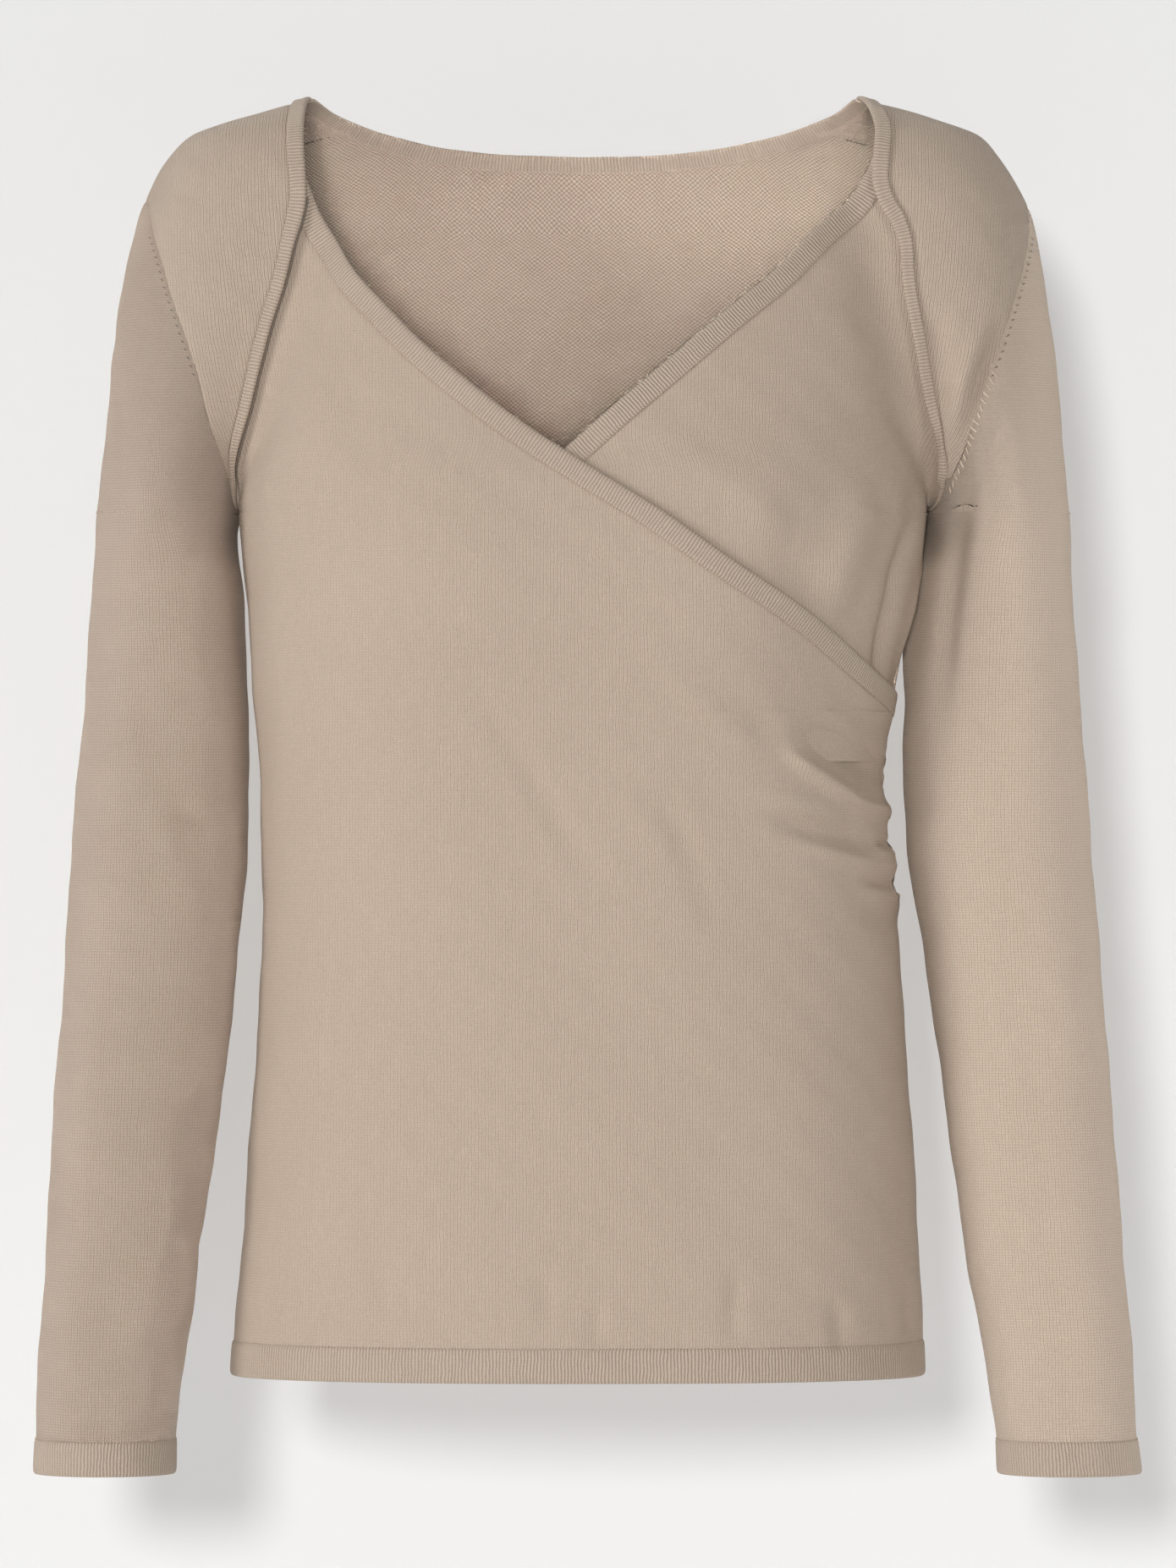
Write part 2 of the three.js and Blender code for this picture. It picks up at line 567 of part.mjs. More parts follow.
const cuff = (face) => wall(`cuff_${yokeSide(face)}`,
  CUFF_ROWS.map((z) => Array.from({ length: CUFF_COLUMNS }, (_, i) => cell(
    onSleeve(face, (i / CUFF_COLUMNS) * 2 * Math.PI, z), 0, RIB, sleeveField))),
  { closed: true });

// Hem rib, front and back, meeting at the side seams; each keeps its panel's columns.
const hem = (name, face, cuts) => wall(name, HEM_ROWS.map((z) => cuts.map(
  (u) => cell(place(mix(edge(-1, z), edge(1, z), u), z, face), 0, RIB))));
const hemFront = hem("hem_band_front", -1, spread(FRONT_COLUMNS, HEM_END));
const hemBack = hem("hem_band_back", 1, backCuts(HEM_END));

const sweater = new THREE.Group();
sweater.name = "silk_sweater";
sweater.add(
  backPanel, frontUnderlap, frontOverlap, yoke(-1), yoke(1), sleeve(-1), sleeve(1),
  cuff(-1), cuff(1), hemFront, hemBack,
  band("neck_band_overlap", overlapSeam, overlapFree, -1, overlapSink),
  band("neck_band_underlap", underlapSeam, underlapFree, -1, underlapSink),
  backBand, yokeBand(-1), yokeBand(1),
);
export default sweater;
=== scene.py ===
"""Long-sleeved wrap sweater in fine silk jersey, worn and hollow, as a Blender add-on."""
import math

import bmesh
import bpy
import numpy as np
from bpy.props import FloatProperty, FloatVectorProperty, IntProperty, PointerProperty
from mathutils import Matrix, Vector


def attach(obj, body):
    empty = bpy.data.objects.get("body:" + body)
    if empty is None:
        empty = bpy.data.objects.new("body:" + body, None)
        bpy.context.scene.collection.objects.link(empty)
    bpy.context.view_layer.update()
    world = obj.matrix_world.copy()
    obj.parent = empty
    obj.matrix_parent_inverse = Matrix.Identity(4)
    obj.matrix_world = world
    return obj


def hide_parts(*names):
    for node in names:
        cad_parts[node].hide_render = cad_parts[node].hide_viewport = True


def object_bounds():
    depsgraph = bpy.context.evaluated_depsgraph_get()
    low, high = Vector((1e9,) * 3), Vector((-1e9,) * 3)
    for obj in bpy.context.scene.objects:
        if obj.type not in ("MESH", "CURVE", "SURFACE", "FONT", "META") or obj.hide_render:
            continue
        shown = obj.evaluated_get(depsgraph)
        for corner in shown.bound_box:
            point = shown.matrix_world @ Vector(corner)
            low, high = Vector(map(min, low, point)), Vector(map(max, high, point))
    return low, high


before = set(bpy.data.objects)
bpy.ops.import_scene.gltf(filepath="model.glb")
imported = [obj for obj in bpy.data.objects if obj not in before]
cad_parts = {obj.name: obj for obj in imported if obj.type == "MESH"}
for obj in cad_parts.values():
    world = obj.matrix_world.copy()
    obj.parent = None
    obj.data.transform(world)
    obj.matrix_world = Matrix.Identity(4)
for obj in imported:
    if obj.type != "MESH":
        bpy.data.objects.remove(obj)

bl_info = {
    "name": "Silk Wrap Sweater",
    "version": (1, 0, 0),
    "blender": (4, 5, 0),
    "location": "3D View > Sidebar > Sweater",
    "description": "Builds a wrap sweater in fine silk jersey round its packed frame",
    "category": "Add Mesh",
}

MM = 0.001
CAD_BOX = [list(corner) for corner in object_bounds()]

# ---- the cut, in millimetres -----------------------------------------------------------------
JERSEY = 1.0            # thickness of the jersey
TUCK = 3.0              # how far a covered layer sinks beneath the one on it
LEDGE, RAMP = 7.0, 32.0  # run that stays down by the covering edge, and run to come back up
HEM_TOP, HEM_END = -597.0, -613.2
CUFF_TOP, CUFF_END = -643.0, -659.2
UNDERLAP_END = -319.0
ARCH = -60.0            # heights above this are measured round the shoulder, 0 on its ridge
ARMPIT = -200.0
YOKE_TIP = -183.0
WRAP_END = -297.0
NECK_CORNER = 138.6
FULLNESS = 2.35         # how square a level cut through the body is, 2 is an ellipse
CAP_END = -228.0        # below this the rings of a sleeve are level
UPRIGHT = -66.0         # above this the rows of the back bend up to its neck edge
WRAP_WIDTH, NECK_WIDTH = 10.6, 8.0
SEAM_DIP = (0.55, 0.3, 0.06)  # how far the first columns beside a seam dip
FRONT, BACK = -1, 1     # faces of the sweater
RIGHT, LEFT = -1, 1     # sides of the wearer


class Sections:
    """Named columns over falling heights, read with a smooth monotone curve."""

    def __init__(self, heads, rows, power=2):
        rows = np.array(rows, float)[::-1]
        h = rows[:, 0]
        self.at = np.linspace(h[0], h[-1], int((h[-1] - h[0]) * 4) + 1)
        k = np.clip(np.searchsorted(h, self.at, side="right") - 1, 0, len(h) - 2)
        s = np.diff(h)
        t = (self.at - h[k]) / s[k]
        self.value = {}
        for i, head in enumerate(heads):
            v = rows[:, i + 1] ** power
            d = np.diff(v) / s
            m = np.zeros_like(v)
            m[0], m[-1] = d[0], d[-1]
            for j in range(1, len(v) - 1):
                if d[j - 1] * d[j] > 0:
                    a, b = s[j - 1], s[j]
                    m[j] = 3 * (a + b) / ((2 * b + a) / d[j - 1] + (b + 2 * a) / d[j])
            out = ((1 + 2 * t) * (1 - t) ** 2 * v[k] + t * (1 - t) ** 2 * s[k] * m[k]
                   + t * t * (3 - 2 * t) * v[k + 1] + t * t * (t - 1) * s[k] * m[k + 1])
            self.value[head] = np.sqrt(np.maximum(out, 0)) if power == 2 else out

    def __call__(self, head, z):
        return np.interp(z, self.at, self.value[head])


# Level cuts through the body: half widths, and depth to the front and back of the side seams.
BODY = Sections(["right", "left", "front", "back"], [
    (18, 2, 2, 2, 2), (8, 70, 70, 16, 38), (-6, 104, 104, 30, 55), (-22, 126, 126, 43, 67),
    (-50, 145, 145, 58, 79), (-100, 158, 158, 78, 88), (-150, 164, 164, 91, 91),
    (-190, 166, 165, 98, 90), (-240, 162.5, 159, 100, 85), (-284, 159.4, 150.4, 94, 79),
    (-330, 155.6, 145.2, 87, 75), (-380, 154.6, 150.4, 84, 76), (-441, 156.7, 154.2, 85, 79),
    (-523, 162.4, 159.4, 87, 83), (-604, 169, 163.8, 88, 85), (-640, 171, 164.6, 88, 85)])
# Level cuts through the sleeves: outer and inner edges from the middle, and half the depth; then
# how far back their own middle lies.
SLEEVE = Sections(["outer_right", "inner_right", "outer_left", "inner_left", "depth"], [
    (8, 85, 84, 85, 84, 1), (-1.6, 140, 60, 142, 60, 18), (-9, 165, 62, 169, 62, 28),
    (-17, 188, 66, 191, 66, 35), (-26.5, 199, 72, 200, 72, 41), (-38.7, 207, 80, 208, 80, 46),
    (-58, 215.4, 92, 216.4, 92, 50), (-100, 224, 118, 224.5, 118, 55),
    (-150, 230, 146, 230, 146, 57), (-190, 234, 162.6, 233, 162, 57),
    (-200, 235, 165.3, 234, 164.4, 56.8), (-210, 235.6, 167.4, 234.6, 166.4, 56.4),
    (-240, 237.6, 164.4, 236.3, 161, 54), (-284, 240.6, 162, 239.5, 155, 50),
    (-320, 244, 161.6, 241.8, 153.8, 47), (-360, 246.6, 162.3, 244.3, 156, 44),
    (-400, 249, 165.2, 247.8, 162, 42), (-441, 251.6, 169.3, 250.8, 167.6, 40),
    (-482, 254.4, 174.2, 253.3, 173.3, 38), (-523, 256.6, 179.5, 256.5, 179, 36),
    (-564, 258.8, 185.2, 259.8, 184.7, 34), (-604, 261, 190.9, 263, 191.6, 32.5),
    (-645, 262.6, 195.3, 264.6, 197.4, 31), (-664, 263, 196, 266.6, 198.4, 31)])
SLEEVE_MIDDLE = Sections(["back"], [
    (8, 6), (-58, 9), (-100, 11), (-150, 13), (-190, 14), (-240, 16), (-284, 15), (-320, 11),
    (-360, 6), (-400, 1), (-441, -4), (-482, -10), (-523, -15), (-564, -20), (-604, -24),
    (-645, -28), (-664, -29)], 1)
# Seam lines: distance from the middle at each height.
ARMHOLE = Sections(["right", "left"], [
    (0, 212, 213.6), (-60, 208, 214.9), (-78, 202.5, 212.4), (-94, 198.2, 207.4),
    (-106, 194, 203.6), (-123, 188, 198.5), (-132, 185, 195), (-159, 178, 184.5),
    (-178, 171.4, 177), (-190, 169.4, 173), (-196, 168, 169.8), (-200, 165.2, 164.4)], 1)
YOKE_SEAM = Sections(["right", "left"], [
    (0, 138.6, 138.6), (-8, 140.2, 141.6), (-16, 141.2, 144.4), (-27, 141.8, 147),
    (-36, 141.4, 146), (-44, 140.6, 145.4), (-51, 140.2, 147.6), (-59, 141.8, 153.4),
    (-71, 144.4, 156.8), (-90, 148.6, 158.2), (-103, 152.7, 160.4), (-116, 156.4, 163),
    (-146, 163.6, 168), (-178, 170, 174.6), (-192, 168.6, 171.8)], 1)
# Width of the yokes' ribs.
YOKE_RIB = Sections(["width"], [
    (0, 7.8), (-54, 7.8), (-74, 6.2), (-120, 5.8), (-166, 4.6), (-182, 3)], 1)
# The wrap edges, at the seams of their ribs, with their side's sign.
WRAP_SEAM = Sections(["overlap", "underlap"], [
    (0, -160, 160), (-30, -150, 152), (-53, -139.6, 138.6), (-66, -133, 124.4),
    (-74, -128, 116), (-92, -116.8, 98.6), (-110, -100.8, 77), (-127, -84.2, 57.4),
    (-141, -68, 41), (-166, -36, 11.4), (-187, -4, -13), (-207, 28, -38), (-229, 60, -66),
    (-250, 92, -93), (-262, 108.2, -108), (-276, 124.7, -125), (-290, 141.5, -143),
    (-297, 151, -153)], 1)
# How far the back neck has dropped at each distance from the middle.
BACK_NECK = Sections(["drop"], [
    (138.6, 0), (134, -3.5), (126, -9), (114, -15), (100, -20), (66, -27), (34, -29.8),
    (0, -30.6)], 1)
# How softly the body and the sleeves run together, at each height.
BLEND = Sections(["soft"], [
    (20, 24), (-60, 24), (-110, 26), (-150, 24), (-182, 10), (-200, 0.4)], 1)
BUST = {"away": 76, "height": -228, "across": 50, "along": 58, "swell": 0.085}
BODY_TOP, SLEEVE_TOP = 17.9, 7.9
CLEAR = 50.0            # distance given to places above the top of the form
FARTHEST, STRIDE = 150, 5  # the form lies nearer than this to its middle line; step of the search


def ease(a, b, x):
    """A soft step from 0 at a to 1 at b."""
    t = np.clip((x - a) / (b - a), 0, 1)
    return t * t * (3 - 2 * t)


def side_name(side):
    """The wearer's side in words."""
    return "right" if side < 0 else "left"


def two_sided(sections, head, x, z):
    """A measure that differs between the right and the left side."""
    return np.where(x < 0, sections(f"{head}right", z), sections(f"{head}left", z))


# ---- the worn form ---------------------------------------------------------------------------
def bust(x, z):
    """How much deeper the front is over the bust."""
    high = sum(np.exp(-((x - c) ** 2) / (2 * BUST["across"] ** 2))
               for c in (-BUST["away"], BUST["away"]))
    return 1 + BUST["swell"] * high * np.exp(
        -((z - BUST["height"]) ** 2) / (2 * BUST["along"] ** 2))


def body_field(x, y, z):
    """Distance from the body, less than 0 inside it."""
    a = two_sided(BODY, "", x, z) + 1e-6
    d = np.where(y < 0, BODY("front", z) * bust(x, z), BODY("back", z)) + 1e-6
    q = ((np.abs(x) / a) ** FULLNESS + (np.abs(y) / d) ** FULLNESS) ** (1 / FULLNESS)
    return np.where(z > BODY_TOP, CLEAR, np.hypot(x, y) * (1 - 1 / np.maximum(q, 1e-6)))


def sleeve_cut(x, z):
    """Middle, half width, half depth and middle's depth of a sleeve's level cut."""
    outer, inner = two_sided(SLEEVE, "outer_", x, z), two_sided(SLEEVE, "inner_", x, z)
    return ((outer + inner) / 2, (outer - inner) / 2 + 1e-6, SLEEVE("depth", z) + 1e-6,
            SLEEVE_MIDDLE("back", z))


def sleeve_field(x, y, z):
    """Distance from the sleeves, less than 0 inside them."""
    c, w, d, back = sleeve_cut(x, z)
    dx, dy = np.abs(x) - c, y - back
    q = np.maximum(np.hypot(dx / w, dy / d), 1e-6)
    return np.where(z > SLEEVE_TOP, CLEAR, np.hypot(dx, dy) * (1 - 1 / q))


def worn_field(x, y, z):
    """Distance from the body and sleeves, softly joined above the armpits."""
    a, b = body_field(x, y, z), sleeve_field(x, y, z)
    k = BLEND("soft", z)
    h = np.maximum(k - np.abs(a - b), 0) / k
    return np.where(z < ARMPIT, a, np.minimum(a, b) - h * h * k / 4)


def normal_of(p, field=worn_field, e=1.6):
    """Outward normals of the form at an array of points."""
    x, y, z = p[..., 0], p[..., 1], p[..., 2]
    n = np.stack([field(x + e, y, z) - field(x - e, y, z),
                  field(x, y + e, z) - field(x, y - e, z),
                  field(x, y, z + e) - field(x, y, z - e)], -1)
    return n / np.maximum(np.linalg.norm(n, axis=-1, keepdims=True), 1e-9)


def middle(x, z):
    """How far back the middle line of the form lies, from which places are sought."""
    back = np.where(z > ARMPIT, SLEEVE_MIDDLE("back", z),
                    SLEEVE_MIDDLE("back", ARMPIT) * ease(-256, ARMPIT, z))
    return back * ease(90, 150, np.abs(x))


def seam_depth(z):
    """How far back the side seam lies."""
    out_at_the_side = np.full_like(z, 200.0)
    return middle(out_at_the_side, z)


def side_edge(side, z):
    """Distance of the side seam from the middle."""
    return BODY(side_name(side), z) * (
        1 - (seam_depth(z) / BODY("back", z)) ** FULLNESS) ** (1 / FULLNESS)


def edge(side, t):
    """Outer edge of a body row: the armhole, or the side seam under it."""
    t = np.asarray(t, float)
    return side * np.where(t <= ARMPIT, side_edge(side, np.minimum(t, ARMPIT)),
                           ARMHOLE(side_name(side), t))


def turned(x, z, face):
    """Places below the arm, turned round the level cut so they can pass the side of the body."""
    half = FULLNESS / 2
    seam = seam_depth(z)
    depth = np.where(seam < 0, BODY("front", z), BODY("back", z))
    start = np.arcsin((np.abs(seam) / depth) ** half) * np.sign(seam) * face
    rim = np.where(x < 0, side_edge(RIGHT, z), side_edge(LEFT, z))
    level = np.arccos(np.minimum(np.abs(x) / rim, 1) ** half)
    angle = level + start * (1 - level / (np.pi / 2)) ** 4
    px = np.sign(x) * two_sided(BODY, "", x, z) * np.abs(np.cos(angle)) ** (1 / half)
    deep = np.where(face * angle < 0, BODY("front", z) * bust(px, z), BODY("back", z))
    y = face * np.sign(angle) * deep * np.abs(np.sin(angle)) ** (1 / half)
    return np.stack([px, y, z], -1)


def reach(x, z0, dy, dz):
    """How far the form lies from its middle line, looking in one direction."""
    y0 = middle(x, z0)
    near, found = np.zeros_like(x), np.zeros(x.shape, bool)
    for r in range(FARTHEST, 0, -STRIDE):
        todo = ~found
        hit = worn_field(x[todo], (y0 + dy * r)[todo], (z0 + dz * r)[todo]) < 0
        near[todo] = np.where(hit, r, 0)
        found[todo] = hit
    far = near + STRIDE
    for _ in range(16):
        r = (near + far) / 2
        hit = worn_field(x, y0 + dy * r, z0 + dz * r) < 0
        near, far = np.where(hit, r, near), np.where(hit, far, r)
    return near


def place(x, t, face):
    """Places on the worn form: x from the middle, height t, on its front or back."""
    x, t = np.broadcast_arrays(np.asarray(x, float), np.asarray(t, float))
    out = np.zeros(x.shape + (3,))
    low = t <= ARMPIT
    if low.any():
        out[low] = turned(x[low], t[low], face)
    if (~low).any():
        a, b = x[~low], t[~low]
        z0 = np.minimum(b, ARCH)
        turn = np.minimum(b / ARCH, 1) * np.pi / 2
        dy, dz = face * np.sin(turn), np.cos(turn)
        r = reach(a, z0, dy, dz)
        out[~low] = np.stack([a, middle(a, z0) + dy * r, z0 + dz * r], -1)
    return out


def height_of(p, face):
    """The height t of points near the form, so that place() returns to them."""
    turn = np.arctan2(face * (p[..., 1] - middle(p[..., 0], np.full(p.shape[:-1], ARCH))),
                      p[..., 2] - ARCH)
    return np.where(p[..., 2] <= ARCH, p[..., 2], np.maximum(turn, 0) / (np.pi / 2) * ARCH)


def runs(p, axis):
    """Distances gone along a grid of places."""
    step = np.linalg.norm(np.diff(p, axis=axis), axis=-1)
    start = np.zeros_like(np.take(step, [0], axis))
    return np.cumsum(np.concatenate([start, step], axis), axis)


# ---- creases laid one by one -----------------------------------------------------------------
def folds(layers, face, *creases):
    """Creases laid into the same layers of one face of the sweater."""
    return [(layers.split(), face, *crease) for crease in creases]


# Depth (minus is a trough), widths at the two ends, how much of a bank it raises on its right, the
# shares over which it fades at its ends, and the places (x, height) it runs through.
CREASES = [
    # gathers at the wearer's left side seam, front
    *folds("outer", FRONT,
        (-6.7, (6.5, 9), 0, (0.5, 0.35), [(94, -300), (105, -304.5), (116, -310.5), (127, -315.5),
         (137, -320), (147, -324), (153, -326.5)]),
        (4.4, (3.3, 5.2), 0, (0.25, 0.2), [(92, -311), (103, -318.5), (113, -325.5), (121, -331),
         (128, -335.5), (137, -339.5), (153, -344)]),
        (-1.3, (2.0, 2.4), 0, (0.4, 0), [(122, -329), (127, -333.6), (134, -336.6), (153, -340)]),
        (-1.8, (6, 6), 0, (0.6, 0.3), [(116, -280), (124, -289), (132, -297), (141, -303.5),
         (153, -309)]),
        (1.7, (5, 6), 0, (0.6, 0.25), [(66, -328), (82, -333.4), (100, -338), (116, -340.6),
         (128, -343.5)]),
        (-3.0, (5, 6), 0, (0.5, 0.3), [(80, -343), (96, -348), (112, -351.5), (128, -353.5),
         (142, -355)]),
        (2.6, (3.6, 4.6), 0, (0.5, 0), [(92, -352), (108, -359), (124, -364), (140, -367.5),
         (153, -369)]),
        (-3.0, (1.9, 2.2), 0, (0.4, 0), [(138, -357.4), (145, -358.2), (153, -359)]),
        (1.9, (3, 3), 0, (0.5, 0), [(132, -361.6), (142, -362), (153, -362.6)]),
        (-2.2, (2.4, 2.4), 0, (0.5, 0), [(130, -375), (141, -376.4), (153, -378)]),
        (1.5, (4, 4), 0, (0.6, 0), [(128, -381), (142, -381.5), (153, -382)]),
        (-1.0, (5, 6), 0, (0.6, 0), [(126, -391), (140, -393), (153, -395)]),
        (-0.9, (8, 7), 0.3, (0.5, 0.4), [(60, -296), (78, -306), (92, -318), (102, -330)]),
        (0.8, (9, 8), 0.3, (0.5, 0.4), [(20, -262), (44, -276), (68, -292), (88, -306)]),
        (-0.9, (9, 7), 0.4, (0.5, 0.3), [(36, -268), (50, -277), (68, -287), (84, -299),
         (96, -309)])),
    # broad soft folds slanting down across the fronts
    *folds("outer", FRONT,
        (-1.7, (7, 6), 0.3, (0.5, 0.5), [(-62, -262), (-44, -293), (-30, -318), (-12, -346),
         (3, -372), (15, -395)]),
        (-1.4, (6, 7), 0.3, (0.5, 0.5), [(28, -320), (42, -346), (56, -376), (65, -401)]),
        (-1.1, (9, 11), 0.3, (0.5, 0.5), [(-123, -95), (-116, -125), (-108, -162), (-102, -198)]),
        (0.8, (5, 5), 0, (0.5, 0.4), [(22, -262), (50, -286), (79, -308), (101, -325)])),
    # the short front, drawn in towards the side under the arm
    *folds("under", FRONT,
        (-5.4, (8, 8), 0, (0.65, 0), [(164, -170), (158, -193), (153.5, -210), (150, -227),
         (147, -247), (143.4, -280)]),
        (4.8, (13, 12), 0, (0.45, 0.35), [(141, -172), (131, -198), (124, -222), (119, -242),
         (115, -264)]),
        (2.1, (5, 6), 0, (0.55, 0), [(167, -196), (163.5, -212), (160, -230), (157, -248),
         (153, -268), (150, -290)]),
        (1.8, (15, 13), 0, (0.5, 0.4), [(84, -168), (84, -204), (90, -236)]),
        (-0.5, (8, 8), 0, (0.5, 0.5), [(90, -184), (98, -205), (101, -232)])),
    # the left yoke rolls over towards the arm, with a dark fold by its rib
    *folds("outer sleeve", FRONT,
        (-2.6, (7, 4.5), 0, (0.5, 0.2), [(166, -86), (168, -102), (169.5, -121), (170.5, -140),
         (171, -158)]),
        (2.8, (6, 4.5), 0, (0.4, 0.05), [(196, -98), (187, -118), (180, -140), (175.5, -162),
         (171, -186)]),
        (-4.6, (4.5, 5.5), 0, (0.45, 0.3), [(205, -96), (196, -118), (189, -140), (182, -162),
         (177, -182), (174, -193)])),
    *folds("sleeve", FRONT,
        (-3.4, (8, 8), 0, (0.3, 0.4), [(190, -150), (185, -178), (180, -208), (175, -240),
         (172, -280), (170, -324)])),
    # the left sleeve lies against the body
    *folds("sleeve", FRONT,
        (3.2, (13, 12), 0, (0.12, 0.3), [(158, -199), (150, -222), (148, -252), (148, -292)])),
    # above the hem
    *folds("outer", FRONT,
        (-1.5, (4.5, 5), 0, (0.5, 0.4), [(-18.8, -552), (-17.6, -574), (-19.6, -594)]),
        (-1.5, (4, 5), 0, (0.5, 0.3), [(8, -568), (4, -597)]),
        (-1.5, (5, 5), 0, (0.5, 0.2), [(73, -552), (70, -594)]),
        (-1.6, (5, 5), 0, (0.5, 0.2), [(119, -570), (122.7, -601)]),
        (-1.2, (6, 6), 0, (0.5, 0.2), [(-128, -536), (-127.5, -594)]),
        (-0.9, (7, 6), 0, (0.5, 0.2), [(-97.5, -517), (-95.4, -588)]),
        (-1.4, (5, 6), 0, (0.5, 0.2), [(154, -566), (156, -596)])),
    # sleeves
    *folds("sleeve", FRONT,
        (-2.2, (7, 6), 0.3, (0.4, 0.4), [(-217, -262), (-206, -306), (-191, -343), (-181, -372),
         (-170, -394)]),
        (-1.4, (6, 7), 0.2, (0.5, 0.5), [(-228.6, -92), (-223, -145), (-217.6, -204)]),
        (-2.0, (9, 8), 0.3, (0.5, 0.4), [(-197, -455), (-190, -490), (-184, -530), (-183, -580)])),
    # gathers at the wearer's left side seam, back
    *folds("outer", BACK,
        (-3.8, (7.5, 5), 0, (0, 0.5), [(153, -336), (142, -330), (128, -323), (112, -315),
         (94, -305), (76, -292)]),
        (2.4, (4.5, 5), 0, (0, 0.5), [(153, -347), (140, -342), (125, -335), (109, -327),
         (92, -318)]),
        (-2.4, (4.5, 6), 0, (0, 0.5), [(153, -356), (139, -353.5), (124, -350), (106, -347),
         (88, -342)]),
        (-2.6, (3.6, 5), 0, (0, 0.5), [(153, -366), (141, -366), (126, -364), (110, -363)]),
        (1.6, (3, 4), 0, (0, 0.5), [(153, -361), (143, -360.6), (131, -359)]),
        (-2.1, (2.6, 3.4), 0, (0, 0.5), [(153, -377.5), (144, -378.5), (132, -380)]),
        (1.1, (5, 6), 0, (0, 0.6), [(153, -388), (138, -391), (120, -396)]),
        (-2.0, (7, 6), 0, (0, 0.5), [(153, -315), (140, -305), (126, -292), (113, -277)]),
        (1.3, (5, 7), 0, (0, 0.5), [(153, -323), (138, -314), (122, -302), (104, -286)]),
        (-0.9, (8, 9), 0.3, (0.4, 0.5), [(76, -286), (56, -272), (34, -254), (14, -232)])),
    # the back hangs from the shoulder blades and rests softly in the waist
    *folds("outer", BACK,
        (-2.3, (12, 9), 0.2, (0.5, 0.5), [(-96, -150), (-92, -190), (-84, -232), (-70, -274)]),
        (-2.5, (11, 9), 0.2, (0.5, 0.5), [(102, -138), (97, -176), (91, -214), (80, -250)]),
        (-1.8, (8, 7), 0.3, (0.5, 0.5), [(-34, -300), (-8, -308), (22, -306), (52, -312)]),
        (-1.5, (7, 7), 0.3, (0.5, 0.5), [(-62, -334), (-30, -340), (6, -337)]),
        (-1.9, (9, 8), 0, (0.5, 0.3), [(12, -470), (16, -512), (15, -552), (18, -590)]),
        (-1.6, (8, 8), 0, (0.5, 0.3), [(-74, -486), (-80, -530), (-82, -590)]),
        (-1.7, (8, 7), 0, (0.5, 0.3), [(96, -478), (102, -526), (103, -592)]),
        (-1.5, (6, 7), 0, (0.1, 0.5), [(-158, -322), (-140, -316), (-122, -306), (-106, -292)]),
        (-1.1, (5, 6), 0, (0.1, 0.5), [(-156, -352), (-138, -350), (-118, -344)])),
    # drag lines up to both armpits, back
    *folds("outer", BACK,
        (-1.9, (6, 8), 0, (0.15, 0.5), [(-164, -202), (-152, -182), (-142, -158), (-136, -132)]),
        (-2.1, (6, 8), 0, (0.15, 0.5), [(163, -203), (150, -186), (138, -166), (128, -140)]),
        (-1.4, (5, 7), 0, (0.15, 0.5), [(163, -214), (146, -206), (128, -196)])),
    *folds("sleeve", BACK,
        (-2.0, (6, 7), 0, (0.2, 0.5), [(-176, -196), (-188, -182), (-202, -172), (-214, -168)]),
        (-2.1, (6, 7), 0, (0.2, 0.5), [(176, -194), (190, -184), (205, -180), (218, -182)])),
    # the sleeves bend a little at the elbow
    *folds("sleeve", BACK,
        (-2.0, (6, 7), 0.2, (0.4, 0.5), [(-172, -330), (-188, -337), (-206, -341), (-226, -338)]),
        (-1.5, (6, 6), 0.2, (0.4, 0.5), [(-176, -356), (-192, -360), (-210, -358)]),
        (-2.1, (6, 7), 0.2, (0.4, 0.5), [(168, -322), (184, -331), (203, -334), (222, -329)]),
        (-1.5, (6, 6), 0.2, (0.4, 0.5), [(172, -349), (190, -352), (212, -347)]),
        (-1.0, (6, 6), 0.2, (0.4, 0.5), [(178, -376), (196, -381), (214, -379)]),
        (-1.4, (9, 9), 0.2, (0.5, 0.5), [(-196, -450), (-204, -492), (-209, -536)]),
        (-1.5, (9, 9), 0.2, (0.5, 0.5), [(207, -462), (214, -506), (222, -560)])),
    *folds("sleeve", FRONT,
        (-0.9, (7, 7), 0.2, (0.5, 0.5), [(178, -402), (190, -409), (204, -410)])),
]
# Slight unevenness all over: height, waves along x, y and z, and phase.
RIPPLES = [(0.30, (0.062, 0.048, 0.041), 0.4), (0.26, (-0.038, 0.071, 0.087), 2.1),
           (0.12, (0.19, 0.11, 0.23), 4.0)]


def on_sleeve(side, angle, z):
    """Places on a sleeve; the angle goes from its outer edge round by the front."""
    c, w, d, back = sleeve_cut(np.full_like(z, float(side)), z)
    return np.stack([side * (c + w * np.cos(angle)), back - d * np.sin(angle), z], -1)


def smoothed(v, soft):
    """Values evened out along a line, carried on straight past its ends."""
    pad = len(soft) // 2
    before = np.linspace(2 * v[0] - v[pad], v[0], pad + 1)[:-1]
    after = np.linspace(v[-1], 2 * v[-1] - v[-1 - pad], pad + 1)[1:]
    return np.convolve(np.concatenate([before, v, after]), soft, "valid")


